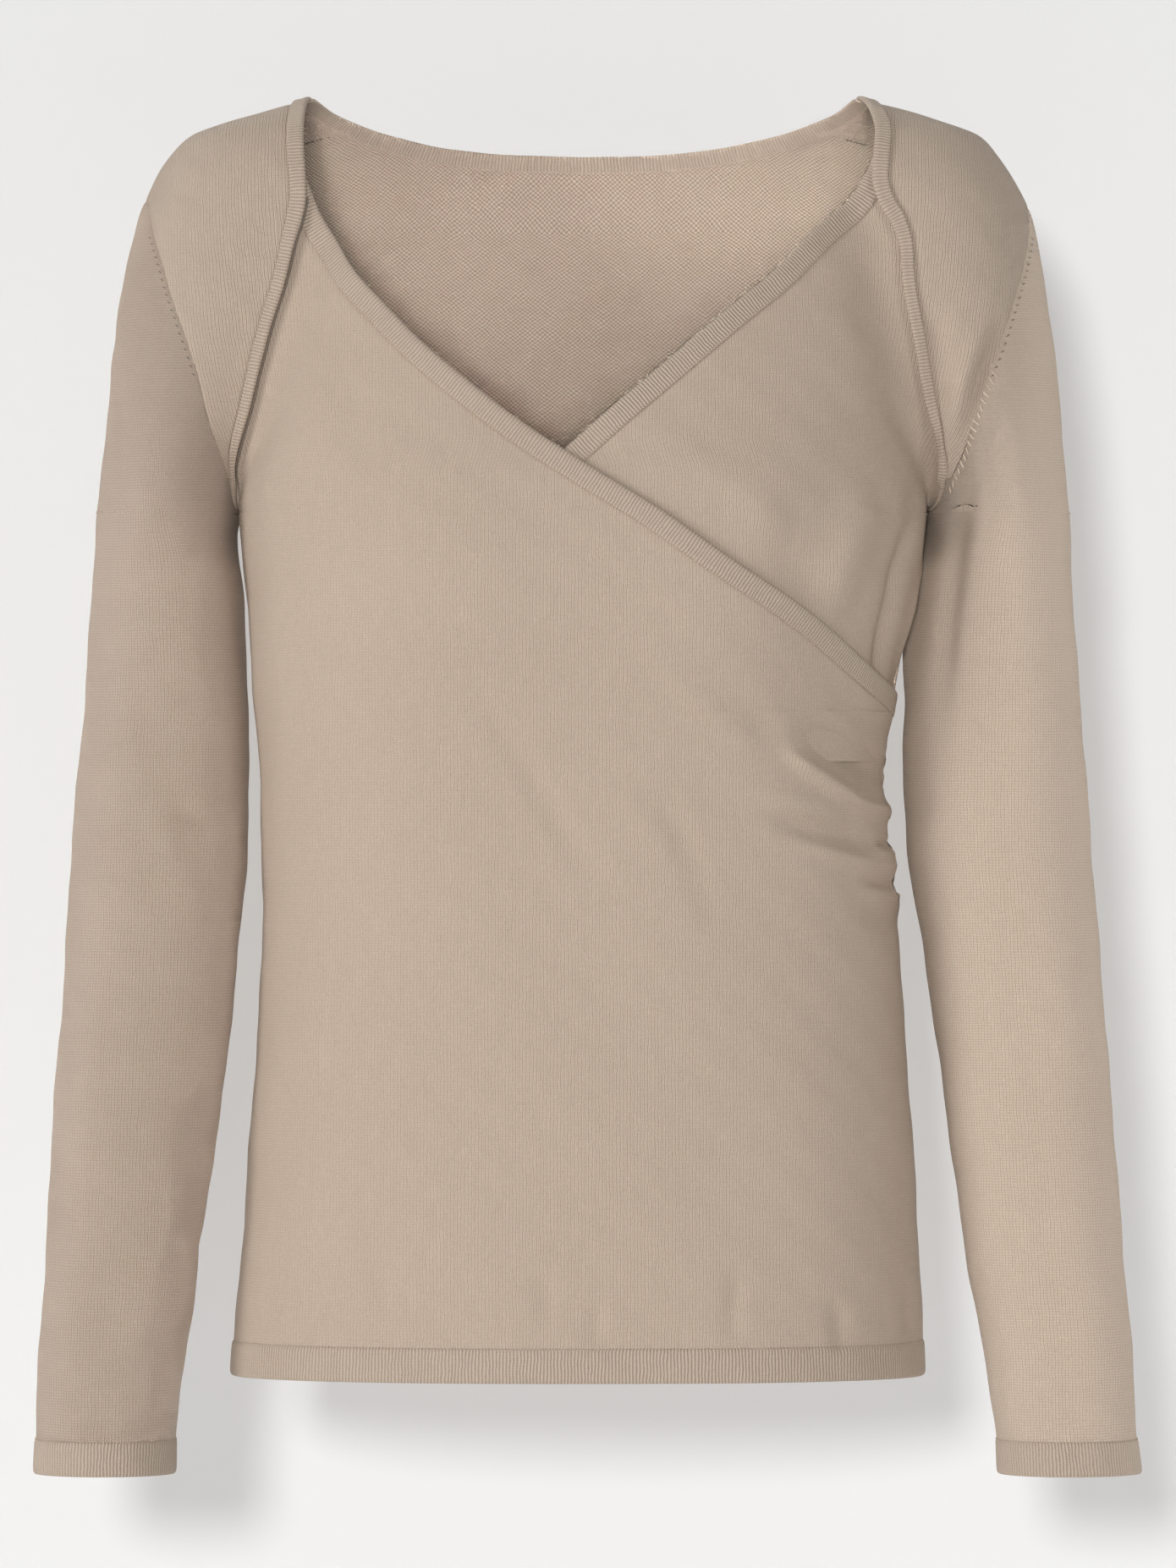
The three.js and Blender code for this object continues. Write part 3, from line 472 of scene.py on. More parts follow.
def crease_line(layers, face, places):
    """A smooth line on the form through the places of a crease."""
    pts = np.array(places, float)
    s = np.concatenate([[0], np.cumsum(np.linalg.norm(np.diff(pts, axis=0), axis=1))])
    n = max(int(s[-1]), 8)
    t = np.linspace(0, s[-1], n)
    x, z = np.interp(t, s, pts[:, 0]), np.interp(t, s, pts[:, 1])
    soft = np.hanning(max(int(n * 0.16) * 2 + 3, 5))
    soft /= soft.sum()
    x, z = (smoothed(v, soft) for v in (x, z))
    if layers == ["sleeve"]:
        side = RIGHT if x.mean() < 0 else LEFT
        c, w, _, _ = sleeve_cut(x, z)
        angle = np.arccos(np.clip((np.abs(x) - c) / w, -1, 1))
        return on_sleeve(side, -face * angle, z)
    if z.min() < ARMPIT:
        x = np.clip(x, edge(RIGHT, z), edge(LEFT, z))
    return place(x, z, face)


def relief(p, n, layer):
    """How far the creases and the slight unevenness of worn cloth lift each place."""
    at, up = p.reshape(-1, 3), n.reshape(-1, 3)
    out = sum(a * np.sin(at @ np.array(k) + phase) for a, k, phase in RIPPLES)
    for layers, face, deep, wide, lean, fade, places in CREASES:
        if layer not in layers:
            continue
        line = crease_line(layers, face, places)
        far = 3.2 * max(wide)
        near = np.flatnonzero(((at > line.min(0) - far) & (at < line.max(0) + far)).all(1))
        if not len(near):
            continue
        along = np.gradient(line, axis=0)
        for part in np.array_split(near, len(near) // 8000 + 1):
            q = at[part]
            gap = (q ** 2).sum(1)[:, None] + (line ** 2).sum(1) - 2 * q @ line.T
            k = gap.argmin(1)
            off = q - line[k]
            d = np.sqrt(np.maximum((off ** 2).sum(1), 0))
            d = d * np.sign((np.cross(along[k], off) * -up[part]).sum(1))
            s = k / (len(line) - 1)
            u = d / (wide[0] + (wide[1] - wide[0]) * s)
            rise = np.exp(-u ** 2) - lean * np.exp(-((u - 1.7) / 1.1) ** 2)
            size = (ease(0, fade[0], s) if fade[0] else 1) * (
                1 - ease(1 - fade[1], 1, s) if fade[1] else 1)
            out[part] += deep * rise * size
    return out.reshape(p.shape[:-1])


# ---- layers ----------------------------------------------------------------------------------
def distance(line, x, t):
    """Distance of places from a line, both given as x and height."""
    best = np.full(x.shape, 1e9)
    for (ax, at), (bx, bt) in zip(line[:-1], line[1:]):
        dx, dt = bx - ax, bt - at
        s = np.clip(((x - ax) * dx + (t - at) * dt) / (dx * dx + dt * dt + 1e-9), 0, 1)
        best = np.minimum(best, np.hypot(x - ax - s * dx, t - at - s * dt))
    return best


def x_at(line, t):
    """Where a line given as x and height passes each height."""
    return np.interp(-t, -line[:, 1], line[:, 0])


def sunk(away):
    """How far a covered layer lies down at a distance from the covering edge."""
    return TUCK * (1 - ease(LEDGE, RAMP, away))


def under_yoke(line, x, t):
    """How far a front lies down beneath a yoke whose edge is the line."""
    covered = (t > line[-1, 1]) & (np.abs(x) > np.abs(x_at(line, t)))
    return sunk(np.where(covered, 0, distance(line, x, t))) * ease(ARMPIT, YOKE_TIP + 28, t)


def under_wrap(line, x, t):
    """How far the short front lies down beneath the wide one."""
    return sunk(np.where(x < x_at(line, t), 0, distance(line, x, t)))


def heights(*spans):
    """Falling heights from 0 through (end, step) spans."""
    out, top = [0.0], 0.0
    for end, step in spans:
        out += list(np.linspace(top, end, max(int(math.ceil((top - end) / step)), 1) + 1)[1:])
        top = end
    return np.array(out)


def even(start, end, t, face, columns, near=(0, 0.8, 2.0), bias=0.0):
    """Columns along each row, the first few at both ends close together, and all of them closer
    towards the end with a bias."""
    u = (1 - np.cos(np.pi * np.linspace(0, 1, 91))) / 2
    x = start[:, None] + (end - start)[:, None] * u
    gone = runs(place(x, t[:, None], face), 1)
    rows = []
    for g, row in zip(gone, x):
        close = np.array(near) * min(1, g[-1] / 30)
        share = np.linspace(0, 1, columns + 1 - 2 * len(close))
        share = share + bias * np.sin(np.pi * share)
        step = close[-1] * 1.9 + share * (g[-1] - close[-1] * 3.8)
        rows.append(np.interp(np.concatenate([close, step, g[-1] - close[::-1]]), g, row))
    return np.array(rows)


def half_girth(side, t, face):
    """Distance along each row from the middle of the sweater to its side."""
    x = edge(side, t)[:, None] * np.sin(np.pi / 2 * np.linspace(0, 1, 81))
    return runs(place(x, t[:, None], face), 1)[:, -1]


def climb(t, face):
    """Distance up the cloth from the hem at each height."""
    steps = np.linspace(0, CUFF_END, 401)
    beside_middle = np.full_like(steps, 100.0)
    gone = runs(place(beside_middle, steps, face), 0)
    return np.interp(-t, -steps, gone[-1] - gone)


def grid_normals(q, like, wrap=False):
    """Normals of a grid of places, on the side that the given ones show."""
    across = np.roll(q, -1, 1) - np.roll(q, 1, 1) if wrap else np.gradient(q, axis=1)
    n = np.cross(np.gradient(q, axis=0), across)
    n /= np.maximum(np.linalg.norm(n, axis=-1, keepdims=True), 1e-9)
    return n * np.where((n * like).sum(-1, keepdims=True) < 0, -1, 1)


# ---- meshes ----------------------------------------------------------------------------------
def grid_faces(rows, cols, wrap, start=0, ring=False):
    """Corners of a grid's faces and of its uv, which has a column and row more where it closes."""
    i, j = np.mgrid[0:rows if ring else rows - 1, 0:cols if wrap else cols - 1]
    i, j = i.ravel(), j.ravel()
    wide = cols + 1 if wrap else cols
    corners = ((0, 0), (1, 0), (1, 1), (0, 1))
    v = np.stack([(i + a) % rows * cols + (j + b) % cols + start for a, b in corners], 1)
    uv = np.stack([(i + a) * wide + j + b for a, b in corners], 1)
    return v, uv


def join(a, b, uv):
    """Faces that join two lines of corners, and their uv."""
    return (np.stack([a[:-1], a[1:], b[1:], b[:-1]], 1),
            np.stack([uv[:-1], uv[1:], uv[1:], uv[:-1]], 1))


def make_mesh(name, points, faces, uv_faces, uvs, slots, materials, extra=()):
    """A plain mesh piece from quads, and other faces in extra, turned to point outwards."""
    me = bpy.data.meshes.new(name)
    tris = np.concatenate([faces[:, [0, 1, 2]], faces[:, [0, 2, 3]]])
    a, b, c = (points[tris[:, k]] for k in range(3))
    if (a * np.cross(b, c)).sum() < 0:
        faces, uv_faces = faces[:, ::-1], uv_faces[:, ::-1]
        extra = [(v[::-1], u[::-1], s) for v, u, s in extra]
    counts = [4] * len(faces) + [len(v) for v, _, _ in extra]
    loops = np.concatenate([faces.ravel()] + [np.array(v) for v, _, _ in extra])
    uv_loops = np.concatenate([uv_faces.ravel()] + [np.array(u) for _, u, _ in extra])
    me.vertices.add(len(points))
    me.vertices.foreach_set("co", (points * MM).ravel())
    me.loops.add(len(loops))
    me.loops.foreach_set("vertex_index", loops.astype(np.int32))
    me.polygons.add(len(counts))
    me.polygons.foreach_set("loop_start", np.concatenate([[0], np.cumsum(counts)[:-1]])
                            .astype(np.int32))
    me.polygons.foreach_set("material_index", np.concatenate(
        [slots, [s for _, _, s in extra]]).astype(np.int32))
    layer = me.uv_layers.new(name="Knit")
    layer.data.foreach_set("uv", (uvs[uv_loops] * MM).astype(np.float32).ravel())
    me.update(calc_edges=True)
    me.validate()
    me.shade_smooth()
    me.set_sharp_from_angle(angle=math.radians(62))
    for m in materials:
        me.materials.append(m)
    ob = bpy.data.objects.new(name, me)
    bpy.context.scene.collection.objects.link(ob)
    return ob


def shell(name, outer, inner, uv, materials, wrap=False):
    """A closed wall from an outer and an inner grid; a wrapped grid has one more column of uv."""
    r, c = outer.shape[:2]
    wide = uv.shape[1]
    points = np.concatenate([outer.reshape(-1, 3), inner.reshape(-1, 3)])
    uvs = uv.reshape(-1, 2)
    vo, uo = grid_faces(r, c, wrap)
    vi, ui = grid_faces(r, c, wrap, r * c)
    parts = [(vo, uo, 0), (vi[:, ::-1], ui[:, ::-1], 1)]
    col, ucol = np.arange(c + 1) % c if wrap else np.arange(c), np.arange(wide)
    for row in (0, r - 1):
        a, u = row * c + col, row * wide + ucol
        v, w = join(a, a + r * c, u)
        parts.append((v, w, 0) if row else (v[:, ::-1], w[:, ::-1], 0))
    if not wrap:
        for k in (0, c - 1):
            a, u = np.arange(r) * c + k, np.arange(r) * wide + k
            v, w = join(a, a + r * c, u)
            parts.append((v[:, ::-1], w[:, ::-1], 0) if k else (v, w, 0))
    return make_mesh(name, points, np.concatenate([p[0] for p in parts]),
                     np.concatenate([p[1] for p in parts]), uvs,
                     np.concatenate([np.full(len(p[0]), p[2]) for p in parts]), materials)


def tube(name, grid, uv, materials, wrap=False):
    """A closed tube: rows go along it (round it too if wrapped), columns round its section."""
    r, c = grid.shape[:2]
    v, u = grid_faces(r, c, True, ring=wrap)
    first, end = np.arange(c), r - 1
    caps = [] if wrap else [(first, first, 0),
                            (end * c + first[::-1], end * (c + 1) + first[::-1], 0)]
    return make_mesh(name, grid.reshape(-1, 3), v, u, uv.reshape(-1, 2), np.zeros(len(v)),
                     materials, caps)


# ---- the pieces' grids -----------------------------------------------------------------------
ROWS_TOP = ((-60, 2.1), (YOKE_TIP, 2.4), (ARMPIT, 2.2))
YOKE_ROWS = heights((-60, 2.1), (YOKE_TIP, 2.4))
RIB_ROWS = heights((-60, 2.1), (YOKE_TIP, 2.4), (-198, 1.9))
WRAP_ROWS = heights(*ROWS_TOP, (WRAP_END, 1.9))


def free_edge(seam, face, width, towards):
    """The free edge of a rib band, square to its seam and kept inside the panel's own edges."""
    p = place(seam[:, 0], seam[:, 1], face)
    along = np.gradient(p, axis=0)
    along /= np.linalg.norm(along, axis=1, keepdims=True)
    across = np.cross(normal_of(p), along)
    across /= np.linalg.norm(across, axis=1, keepdims=True)
    q = p + across * (towards * width)[:, None]
    h = height_of(q, face)
    limit = np.abs(np.where(q[:, 0] < 0, edge(RIGHT, h), edge(LEFT, h)))
    return np.stack([np.clip(q[:, 0], -limit, limit), h], 1)


def yoke_seam(side, rows=YOKE_ROWS):
    """Seam between a yoke and its front, as x and height."""
    label = side_name(side)
    x = np.minimum(YOKE_SEAM(label, rows), ARMHOLE(label, rows) - 0.3)
    return np.stack([side * x, rows], 1)


def wrap_seam(which, rows=WRAP_ROWS):
    """Seam between a front and its wrap edge's rib, as x and height."""
    x = WRAP_SEAM(which, rows)
    x = np.minimum(x, edge(LEFT, rows)) if which == "overlap" else np.maximum(x, edge(RIGHT, rows))
    return np.stack([x, rows], 1)


YOKE_FREE = {side: free_edge(yoke_seam(side), FRONT, YOKE_RIB("width", YOKE_ROWS), -side)
             for side in (RIGHT, LEFT)}
OVERLAP_FREE, UNDERLAP_FREE = (
    free_edge(wrap_seam(which), FRONT, np.full(len(WRAP_ROWS), WRAP_WIDTH), towards)
    for which, towards in (("overlap", 1), ("underlap", -1)))


def overlap_sink(x, t):
    """The wide front lies beneath the right yoke."""
    return np.where(x < 0, under_yoke(YOKE_FREE[RIGHT], x, t), 0)


def underlap_sink(x, t):
    """The short front lies beneath the left yoke and the wide front."""
    return np.maximum(np.where(x > 0, under_yoke(YOKE_FREE[LEFT], x, t), 0),
                      under_wrap(OVERLAP_FREE, x, t))


def no_sink(x, t):
    """A layer with nothing over it."""
    return np.zeros(np.broadcast(x, t).shape)


def tucked(side, t):
    """Edge of a front beneath its yoke, kept a little inside the armhole."""
    return edge(side, t) - side * 4.0 * ease(YOKE_TIP, YOKE_TIP + 20, t)


def laid(x, t, face, layer, sink):
    """Places on the form with the layer's sink and the creases put in, and their normals."""
    x, t = np.broadcast_arrays(x, t)
    p = place(x, t, face)
    n = normal_of(p)
    return p + n * (relief(p, n, layer) - sink(x, t))[..., None], n


def drawn_in(q, n):
    """The cloth dips a little where it is sewn, at both sides and along the first row."""
    dip = np.zeros(q.shape[:2])
    for k, deep in enumerate(SEAM_DIP):
        dip[:, k] = dip[:, -1 - k] = deep
    dip[0] = np.maximum(dip[0], SEAM_DIP[0])
    return q - n * dip[..., None]


def panel(name, t, start, end, columns, materials, sink=no_sink, layer="outer", anchor=RIGHT,
          bias=0.0):
    """A piece of the front between two edges; its knit is counted from the anchor's side."""
    x = even(start, end, t, FRONT, columns, bias=bias)
    q, n = laid(x, t[:, None], FRONT, layer, sink)
    q = drawn_in(q, n)
    m = grid_normals(q, n)
    gone = runs(place(x, t[:, None], FRONT), 1)
    half = half_girth(anchor, t, FRONT)[:, None]
    u = gone - half if anchor == RIGHT else half - gone[:, -1:] + gone
    uv = np.stack([u, np.broadcast_to(climb(t, FRONT)[:, None], u.shape)], -1)
    return shell(name, q, q - m * JERSEY, uv, materials)


# Where the small stitches show, as heights; the overlock and its seam as distances from the middle.
YOKE_SHADE = (-52, -192)
MARKS, MARK_PITCH, MARK_AWAY = (-66, -136), 4.1, 1.8
ROUGH_SEAM = (-132, -190)
OVERLOCK, OVERLOCK_THREADS = (114, 137), 170
SHOULDER_SEAM = ((116, 136), (-13, -18))
# Sections of the folded ribs: share of the width from seam to free edge, and height off the form.
WRAP_SECTION = [(-0.02, 0.1), (0.02, 0.52), (0.1, 0.72), (0.28, 0.7), (0.42, 0.74), (0.58, 0.95),
                (0.74, 1.05), (0.87, 0.92), (0.955, 0.5), (0.995, -0.1), (0.985, -0.62),
                (0.93, -0.98), (0.8, -1.1), (0.5, -1.1), (0.2, -1.1), (-0.02, -1.1)]
HEM_SECTION = [(-0.02, 0.0), (0.015, 0.42), (0.07, 0.66), (0.2, 0.72), (0.5, 0.74), (0.8, 0.8),
               (0.92, 0.68), (0.975, 0.3), (0.998, -0.2), (0.975, -0.72), (0.9, -1.05),
               (0.7, -1.15), (0.4, -1.15), (-0.02, -1.1)]


def folded_uv(gone, q):
    """Knit places of a folded rib: along the band, and round its section."""
    round_section = runs(np.concatenate([q, q[:, :1]], 1), 1)
    return np.stack([np.broadcast_to(gone, round_section.shape), round_section], -1)


def band(name, seam, free, face, section, materials, sink=no_sink, layer="outer", slim=1.0,
         round_body=False):
    """A folded rib band from its seam to its free edge, over or under the layers beside it."""
    share, lift = np.array(section).T
    x = seam[:, :1] + (free[:, :1] - seam[:, :1]) * share
    t = np.minimum(seam[:, 1:] + (free[:, 1:] - seam[:, 1:]) * share, 0)
    x = np.where(t <= ARMPIT, np.clip(x, edge(RIGHT, t), edge(LEFT, t)), x)
    if round_body:
        x[0], x[-1] = edge(RIGHT, t[0]), edge(LEFT, t[-1])
    p = place(x, t, face)
    n = normal_of(p)
    q = p + n * (lift * slim + relief(p, n, layer) - sink(x, t))[..., None]
    return tube(name, q, folded_uv(runs(p, 0)[:, len(share) // 4][:, None], q), materials)


def level_on_back(x, z):
    """Where heights above the arch lie on the back."""
    low, high = np.full_like(x, ARCH), np.zeros_like(x)
    for _ in range(22):
        t = (low + high) / 2
        above = place(x, t, BACK)[:, 2] > z
        high, low = np.where(above, t, high), np.where(above, low, t)
    return (low + high) / 2


def top_of_back(x):
    """Height of the back's upper edge: its neck curve, and the shoulder seams beside it."""
    t = level_on_back(x, BACK_NECK("drop", np.abs(x)))
    return np.where(np.abs(x) >= NECK_CORNER - 0.5, 0.0, t)


def back_neck():
    """Seam of the back neck's rib."""
    x = np.linspace(-NECK_CORNER, NECK_CORNER, 150)
    return np.stack([x, top_of_back(x)], 1)


def back_grid(columns, rows_top=36):
    """Places of the back: even rows, and above them rows that bend up to the neck edge."""
    t = heights((UPRIGHT, 2.0), (YOKE_TIP, 2.5), (ARMPIT, 2.3), (-430, 2.5), (HEM_TOP, 2.8))
    t = t[t <= UPRIGHT + 1e-6]
    x = even(edge(RIGHT, t), edge(LEFT, t), t, BACK, columns)
    share = x[0] / np.where(x[0] < 0, np.abs(edge(RIGHT, t[:1])), edge(LEFT, t[:1]))
    rise = np.linspace(1, 0, rows_top + 1)[:-1, None]
    top = top_of_back(share * np.where(share < 0, np.abs(edge(RIGHT, 0.0)), edge(LEFT, 0.0)))
    t_up = UPRIGHT + (top - UPRIGHT) * rise
    x_up = share * np.where(share < 0, np.abs(edge(RIGHT, t_up)), edge(LEFT, t_up))
    return np.concatenate([x_up, x]), np.concatenate([t_up, np.repeat(t[:, None], x.shape[1], 1)])


def back_panel(materials, columns):
    """The back, its knit counted from the middle."""
    x, t = back_grid(columns)
    q, n = laid(x, t, BACK, "outer", no_sink)
    q = drawn_in(q, n)
    m = grid_normals(q, n)
    gone = runs(place(x, t, BACK), 1)
    u = gone - np.array([np.interp(0, xs, g) for xs, g in zip(x, gone)])[:, None]
    uv = np.stack([u, climb(t, BACK)], -1)
    return shell("back_panel_jersey", q, q - m * JERSEY, uv, materials)


def armhole_ring(side, per_half):
    """Places round an armhole, from under the arm up the back and down the front."""
    label = side_name(side)
    fine = np.linspace(0, ARMPIT, 801)
    x = np.where(fine > ARMPIT, side * ARMHOLE(label, fine), edge(side, fine))
    rings = []
    for face in (BACK, FRONT):
        gone = runs(place(x, fine, face), 0)
        t = np.interp(np.linspace(0, gone[-1], per_half + 1), gone, fine)
        at = np.where(t > ARMPIT + 1e-6, side * ARMHOLE(label, t), edge(side, t))
        rings.append(place(at, t, face))
    return np.concatenate([rings[0][::-1], rings[1][1:-1]])


def sleeve_grid(side, per_half, cap_rows=78, step=2.7):
    """Rings of a sleeve from the armhole down; columns start under the arm, first up the back."""
    ring = armhole_ring(side, per_half)
    n = len(ring)
    c, w, d, back = sleeve_cut(ring[:, 0], ring[:, 2])
    start = np.arctan2((back - ring[:, 1]) / d, (np.abs(ring[:, 0]) - c) / w)
    order = np.arange(n)
    start = np.where((order < n / 4) & (start > 0), start - 2 * np.pi, start)
    start = np.where((order > 3 * n / 4) & (start < 0), start + 2 * np.pi, start)
    level = (order / n - 0.5) * 2 * np.pi
    share = np.linspace(0, 1, cap_rows + 1)[1:, None]
    z = ring[:, 2] + (CAP_END - ring[:, 2]) * share
    q = on_sleeve(side, start + (level - start) * share, z)
    high = z > ARMPIT
    p = q[high]
    for _ in range(8):
        off = worn_field(p[:, 0], p[:, 1], p[:, 2])
        p = p - normal_of(p) * (off * 0.8)[:, None]
    q[high] = p
    zs = np.linspace(CAP_END, CUFF_TOP, int((CAP_END - CUFF_TOP) / step) + 1)[1:, None]
    lower = on_sleeve(side, np.broadcast_to(level, (len(zs), n)), zs + np.zeros(n))
    return np.concatenate([ring[None], q, lower])


def sleeve(name, side, materials, per_half):
    """A sleeve, its knit counted from its outer edge and up from the cuff."""
    p = sleeve_grid(side, per_half)
    high = (p[..., 2] > ARMPIT + 1)[..., None]
    n = np.where(high, normal_of(p), normal_of(p, sleeve_field))
    q = p + n * relief(p, n, "sleeve")[..., None]
    q[0] -= n[0] * SEAM_DIP[0]
    q[1] -= n[1] * SEAM_DIP[2]
    m = grid_normals(q, n, True)
    m[0] = n[0]
    outside = p.shape[1] // 2
    gone = runs(np.concatenate([p, p[:, :1]], 1), 1)
    u = gone - gone[:, outside][:, None]
    z = np.concatenate([p[..., 2], p[:, :1, 2]], 1)
    line = p[:, outside]
    v = np.interp(-z, -line[:, 2], runs(line[::-1], 0)[::-1])
    return shell(name, q, q - m * JERSEY, np.stack([u, v], -1), materials, True)


def cuff(name, side, materials, columns=150):
    """A folded rib round the end of a sleeve."""
    share, lift = np.array(HEM_SECTION).T
    level = (np.arange(columns) / columns - 0.5) * 2 * np.pi
    angle, z = np.broadcast_arrays(level[:, None], CUFF_TOP + (CUFF_END - CUFF_TOP) * share[None])
    p = on_sleeve(side, angle, z)
    n = normal_of(p, sleeve_field)
    q = p + n * (lift + relief(p, n, "sleeve"))[..., None]
    full = np.concatenate([q, q[:1]])
    return tube(name, q, folded_uv(runs(full[:, 3], 0)[:, None], full), materials, True)


# ---- materials -------------------------------------------------------------------------------
class Nodes:
    """Adds nodes to a tree in short calls."""

    def __init__(self, tree):
        self.tree = tree

    def add(self, kind, *inputs, out=0, **options):
        """A new node's output; its inputs are sockets, plain values or None to leave them."""
        node = self.tree.nodes.new(kind)
        for key, value in options.items():
            setattr(node, key, value)
        for slot, value in enumerate(inputs):
            self.feed(node, slot, value)
        return node.outputs[out]

    def feed(self, node, slot, value):
        """Links a socket to an input, or sets the input to a plain value."""
        if value is None:
            return
        if hasattr(value, "is_linked"):
            self.tree.links.new(value, node.inputs[slot])
        else:
            node.inputs[slot].default_value = value

    def math(self, operation, *inputs):
        return self.add("ShaderNodeMath", *inputs, operation=operation)

    def wave(self, value):
        """A cosine from 0 to 1 over each whole step of value."""
        cosine = self.math("COSINE", self.math("MULTIPLY", value, 2 * math.pi))
        return self.math("MULTIPLY_ADD", cosine, 0.5, 0.5)


def group(name, inputs, output, build):
    """A shader node group with named sockets, built once."""
    if name in bpy.data.node_groups:
        return bpy.data.node_groups[name]
    tree = bpy.data.node_groups.new(name, "ShaderNodeTree")
    for label, kind, default in inputs:
        socket = tree.interface.new_socket(label, in_out="INPUT", socket_type=f"NodeSocket{kind}")
        if default is not None:
            socket.default_value = default
    label, kind = output
    tree.interface.new_socket(label, in_out="OUTPUT", socket_type=f"NodeSocket{kind}")
    start, end = tree.nodes.new("NodeGroupInput"), tree.nodes.new("NodeGroupOutput")
    tree.links.new(build(Nodes(tree), start.outputs), end.inputs[0])
    return tree


KNIT_SOCKETS = [("Place", "Vector", None), ("Wale", "Float", 1.6), ("Course", "Float", 1.25),
                ("Unevenness", "Float", 0.8), ("Wander", "Float", 0.7), ("Rows", "Float", 0.25)]


def knit_steps(nodes, sockets):
    """Columns and rows counted from the cloth's own measures, slightly uneven."""
    drifts = [nodes.add("ShaderNodeTexNoise", sockets["Place"], None, scale, 2.0, out=1,
                        noise_dimensions="2D") for scale in (110.0, 16.0)]
    where, shift, wander = (nodes.add("ShaderNodeSeparateXYZ", vector).node.outputs
                            for vector in (sockets["Place"], *drifts))
    steps = []
    for k, size in ((0, "Wale"), (1, "Course")):
        pitch = nodes.math("MULTIPLY", sockets[size], MM)
        count = nodes.math("DIVIDE", where[k], pitch)
        off = nodes.math("MULTIPLY", nodes.math("SUBTRACT", shift[k], 0.5), sockets["Unevenness"])
        far = nodes.math("MULTIPLY", nodes.math("SUBTRACT", wander[k], 0.5), sockets["Wander"])
        steps.append(nodes.math("ADD", nodes.math("ADD", count, off), far))
    return steps


def stockinette(nodes, sockets):
    """Face of the jersey: columns of slanted stitch legs."""
    u, v = knit_steps(nodes, sockets)
    across = nodes.math("MULTIPLY", nodes.math("PINGPONG", u, 0.5), 2.0)
    leg = nodes.math("SINE", nodes.math("MULTIPLY_ADD", across, 2.76, 0.38))
    slant = nodes.wave(nodes.math("MULTIPLY_ADD", across, 0.55, v))
    height = nodes.math("MULTIPLY", leg, nodes.math("MULTIPLY_ADD", slant, 0.28, 0.72))
    row = nodes.math("MULTIPLY", nodes.math("SUBTRACT", 1.0, nodes.wave(v)), sockets["Rows"])
    return nodes.math("MULTIPLY", height, nodes.math("SUBTRACT", 1.0, row))


def purl(nodes, sockets):
    """Inside of the jersey: small staggered bumps."""
    across, along = (nodes.math("COSINE", nodes.math("MULTIPLY", step, 2 * math.pi))
                     for step in knit_steps(nodes, sockets))
    return nodes.math("MULTIPLY_ADD", nodes.math("MULTIPLY", across, along), 0.5, 0.5)


def ribbing(nodes, sockets):
    """Rib: rounded ridges across the band with a faint stitch."""
    u, v = knit_steps(nodes, sockets)
    ridge = nodes.math("POWER", nodes.wave(u), 0.7)
    stitch = nodes.wave(nodes.math("MULTIPLY_ADD", nodes.math("PINGPONG", u, 0.5), 0.9, v))
    return nodes.math("MULTIPLY_ADD", stitch, 0.16, nodes.math("MULTIPLY", ridge, 0.84))


def yarn_tone(nodes, sockets):
    """Silk yarn's colour: painted shade darkens the gaps between stitches and painted light
    brightens their crowns, the darker places turning warmer; slightly uneven at random.
    """
    here = nodes.add("ShaderNodeTexCoord", out=3)
    # Painted shade: the colour darkens where the knit's height is low, in the gaps between
    # stitches, and lightens on its crowns as painted light.
    gap = nodes.math("MULTIPLY", nodes.math("SUBTRACT", sockets["Height"], 0.55), sockets["Depth"])
    tone = nodes.math("ADD", 1.0, gap)
    for scale, detail, share in ((1100.0, 2.0, 0.3), (14.0, 3.0, 0.08)):
        noise = nodes.add("ShaderNodeTexNoise", here, None, scale, detail)
        tone = nodes.math("ADD", tone, nodes.math(
            "MULTIPLY", nodes.math("SUBTRACT", noise, 0.5), share))
    split = nodes.add("ShaderNodeSeparateColor", sockets["Color"]).node.outputs
    shades = [nodes.math("MULTIPLY", split[k], nodes.math("POWER", tone, warmth))
              for k, warmth in ((0, 0.9), (1, 1.0), (2, 1.12))]
    return nodes.add("ShaderNodeCombineColor", *shades)


PATTERNS = {"stockinette": stockinette, "purl": purl, "ribbing": ribbing}
# Pattern, widths of a column and a row as shares of the yarn's own, relief in millimetres, how much
# painted shade darkens the gaps between stitches (and painted light brightens their crowns), how
# deep the rows cut, roughness, and the yarn's shade.
FINISHES = {
    "Silk Jersey Face": ("stockinette", 1, 1, 0.32, 0.38, 0.3, 0.8, 1),
    "Silk Yoke Face": ("stockinette", 1, 1, 0.42, 0.55, 0.2, 0.8, 1),
    "Silk Sleeve Face": ("stockinette", 1, 1, 0.5, 0.68, 0.3, 0.8, 1),
    "Silk Jersey Inside": ("purl", 1.45, 1.5, 0.6, 0.8, 0.25, 0.86, 1),
    # The rib is the same yarn as the jersey; its lower shade of 0.89 is painted shade.
    "Silk Rib": ("ribbing", 1, 1, 0.4, 0.45, 0.25, 0.8, 0.89)}


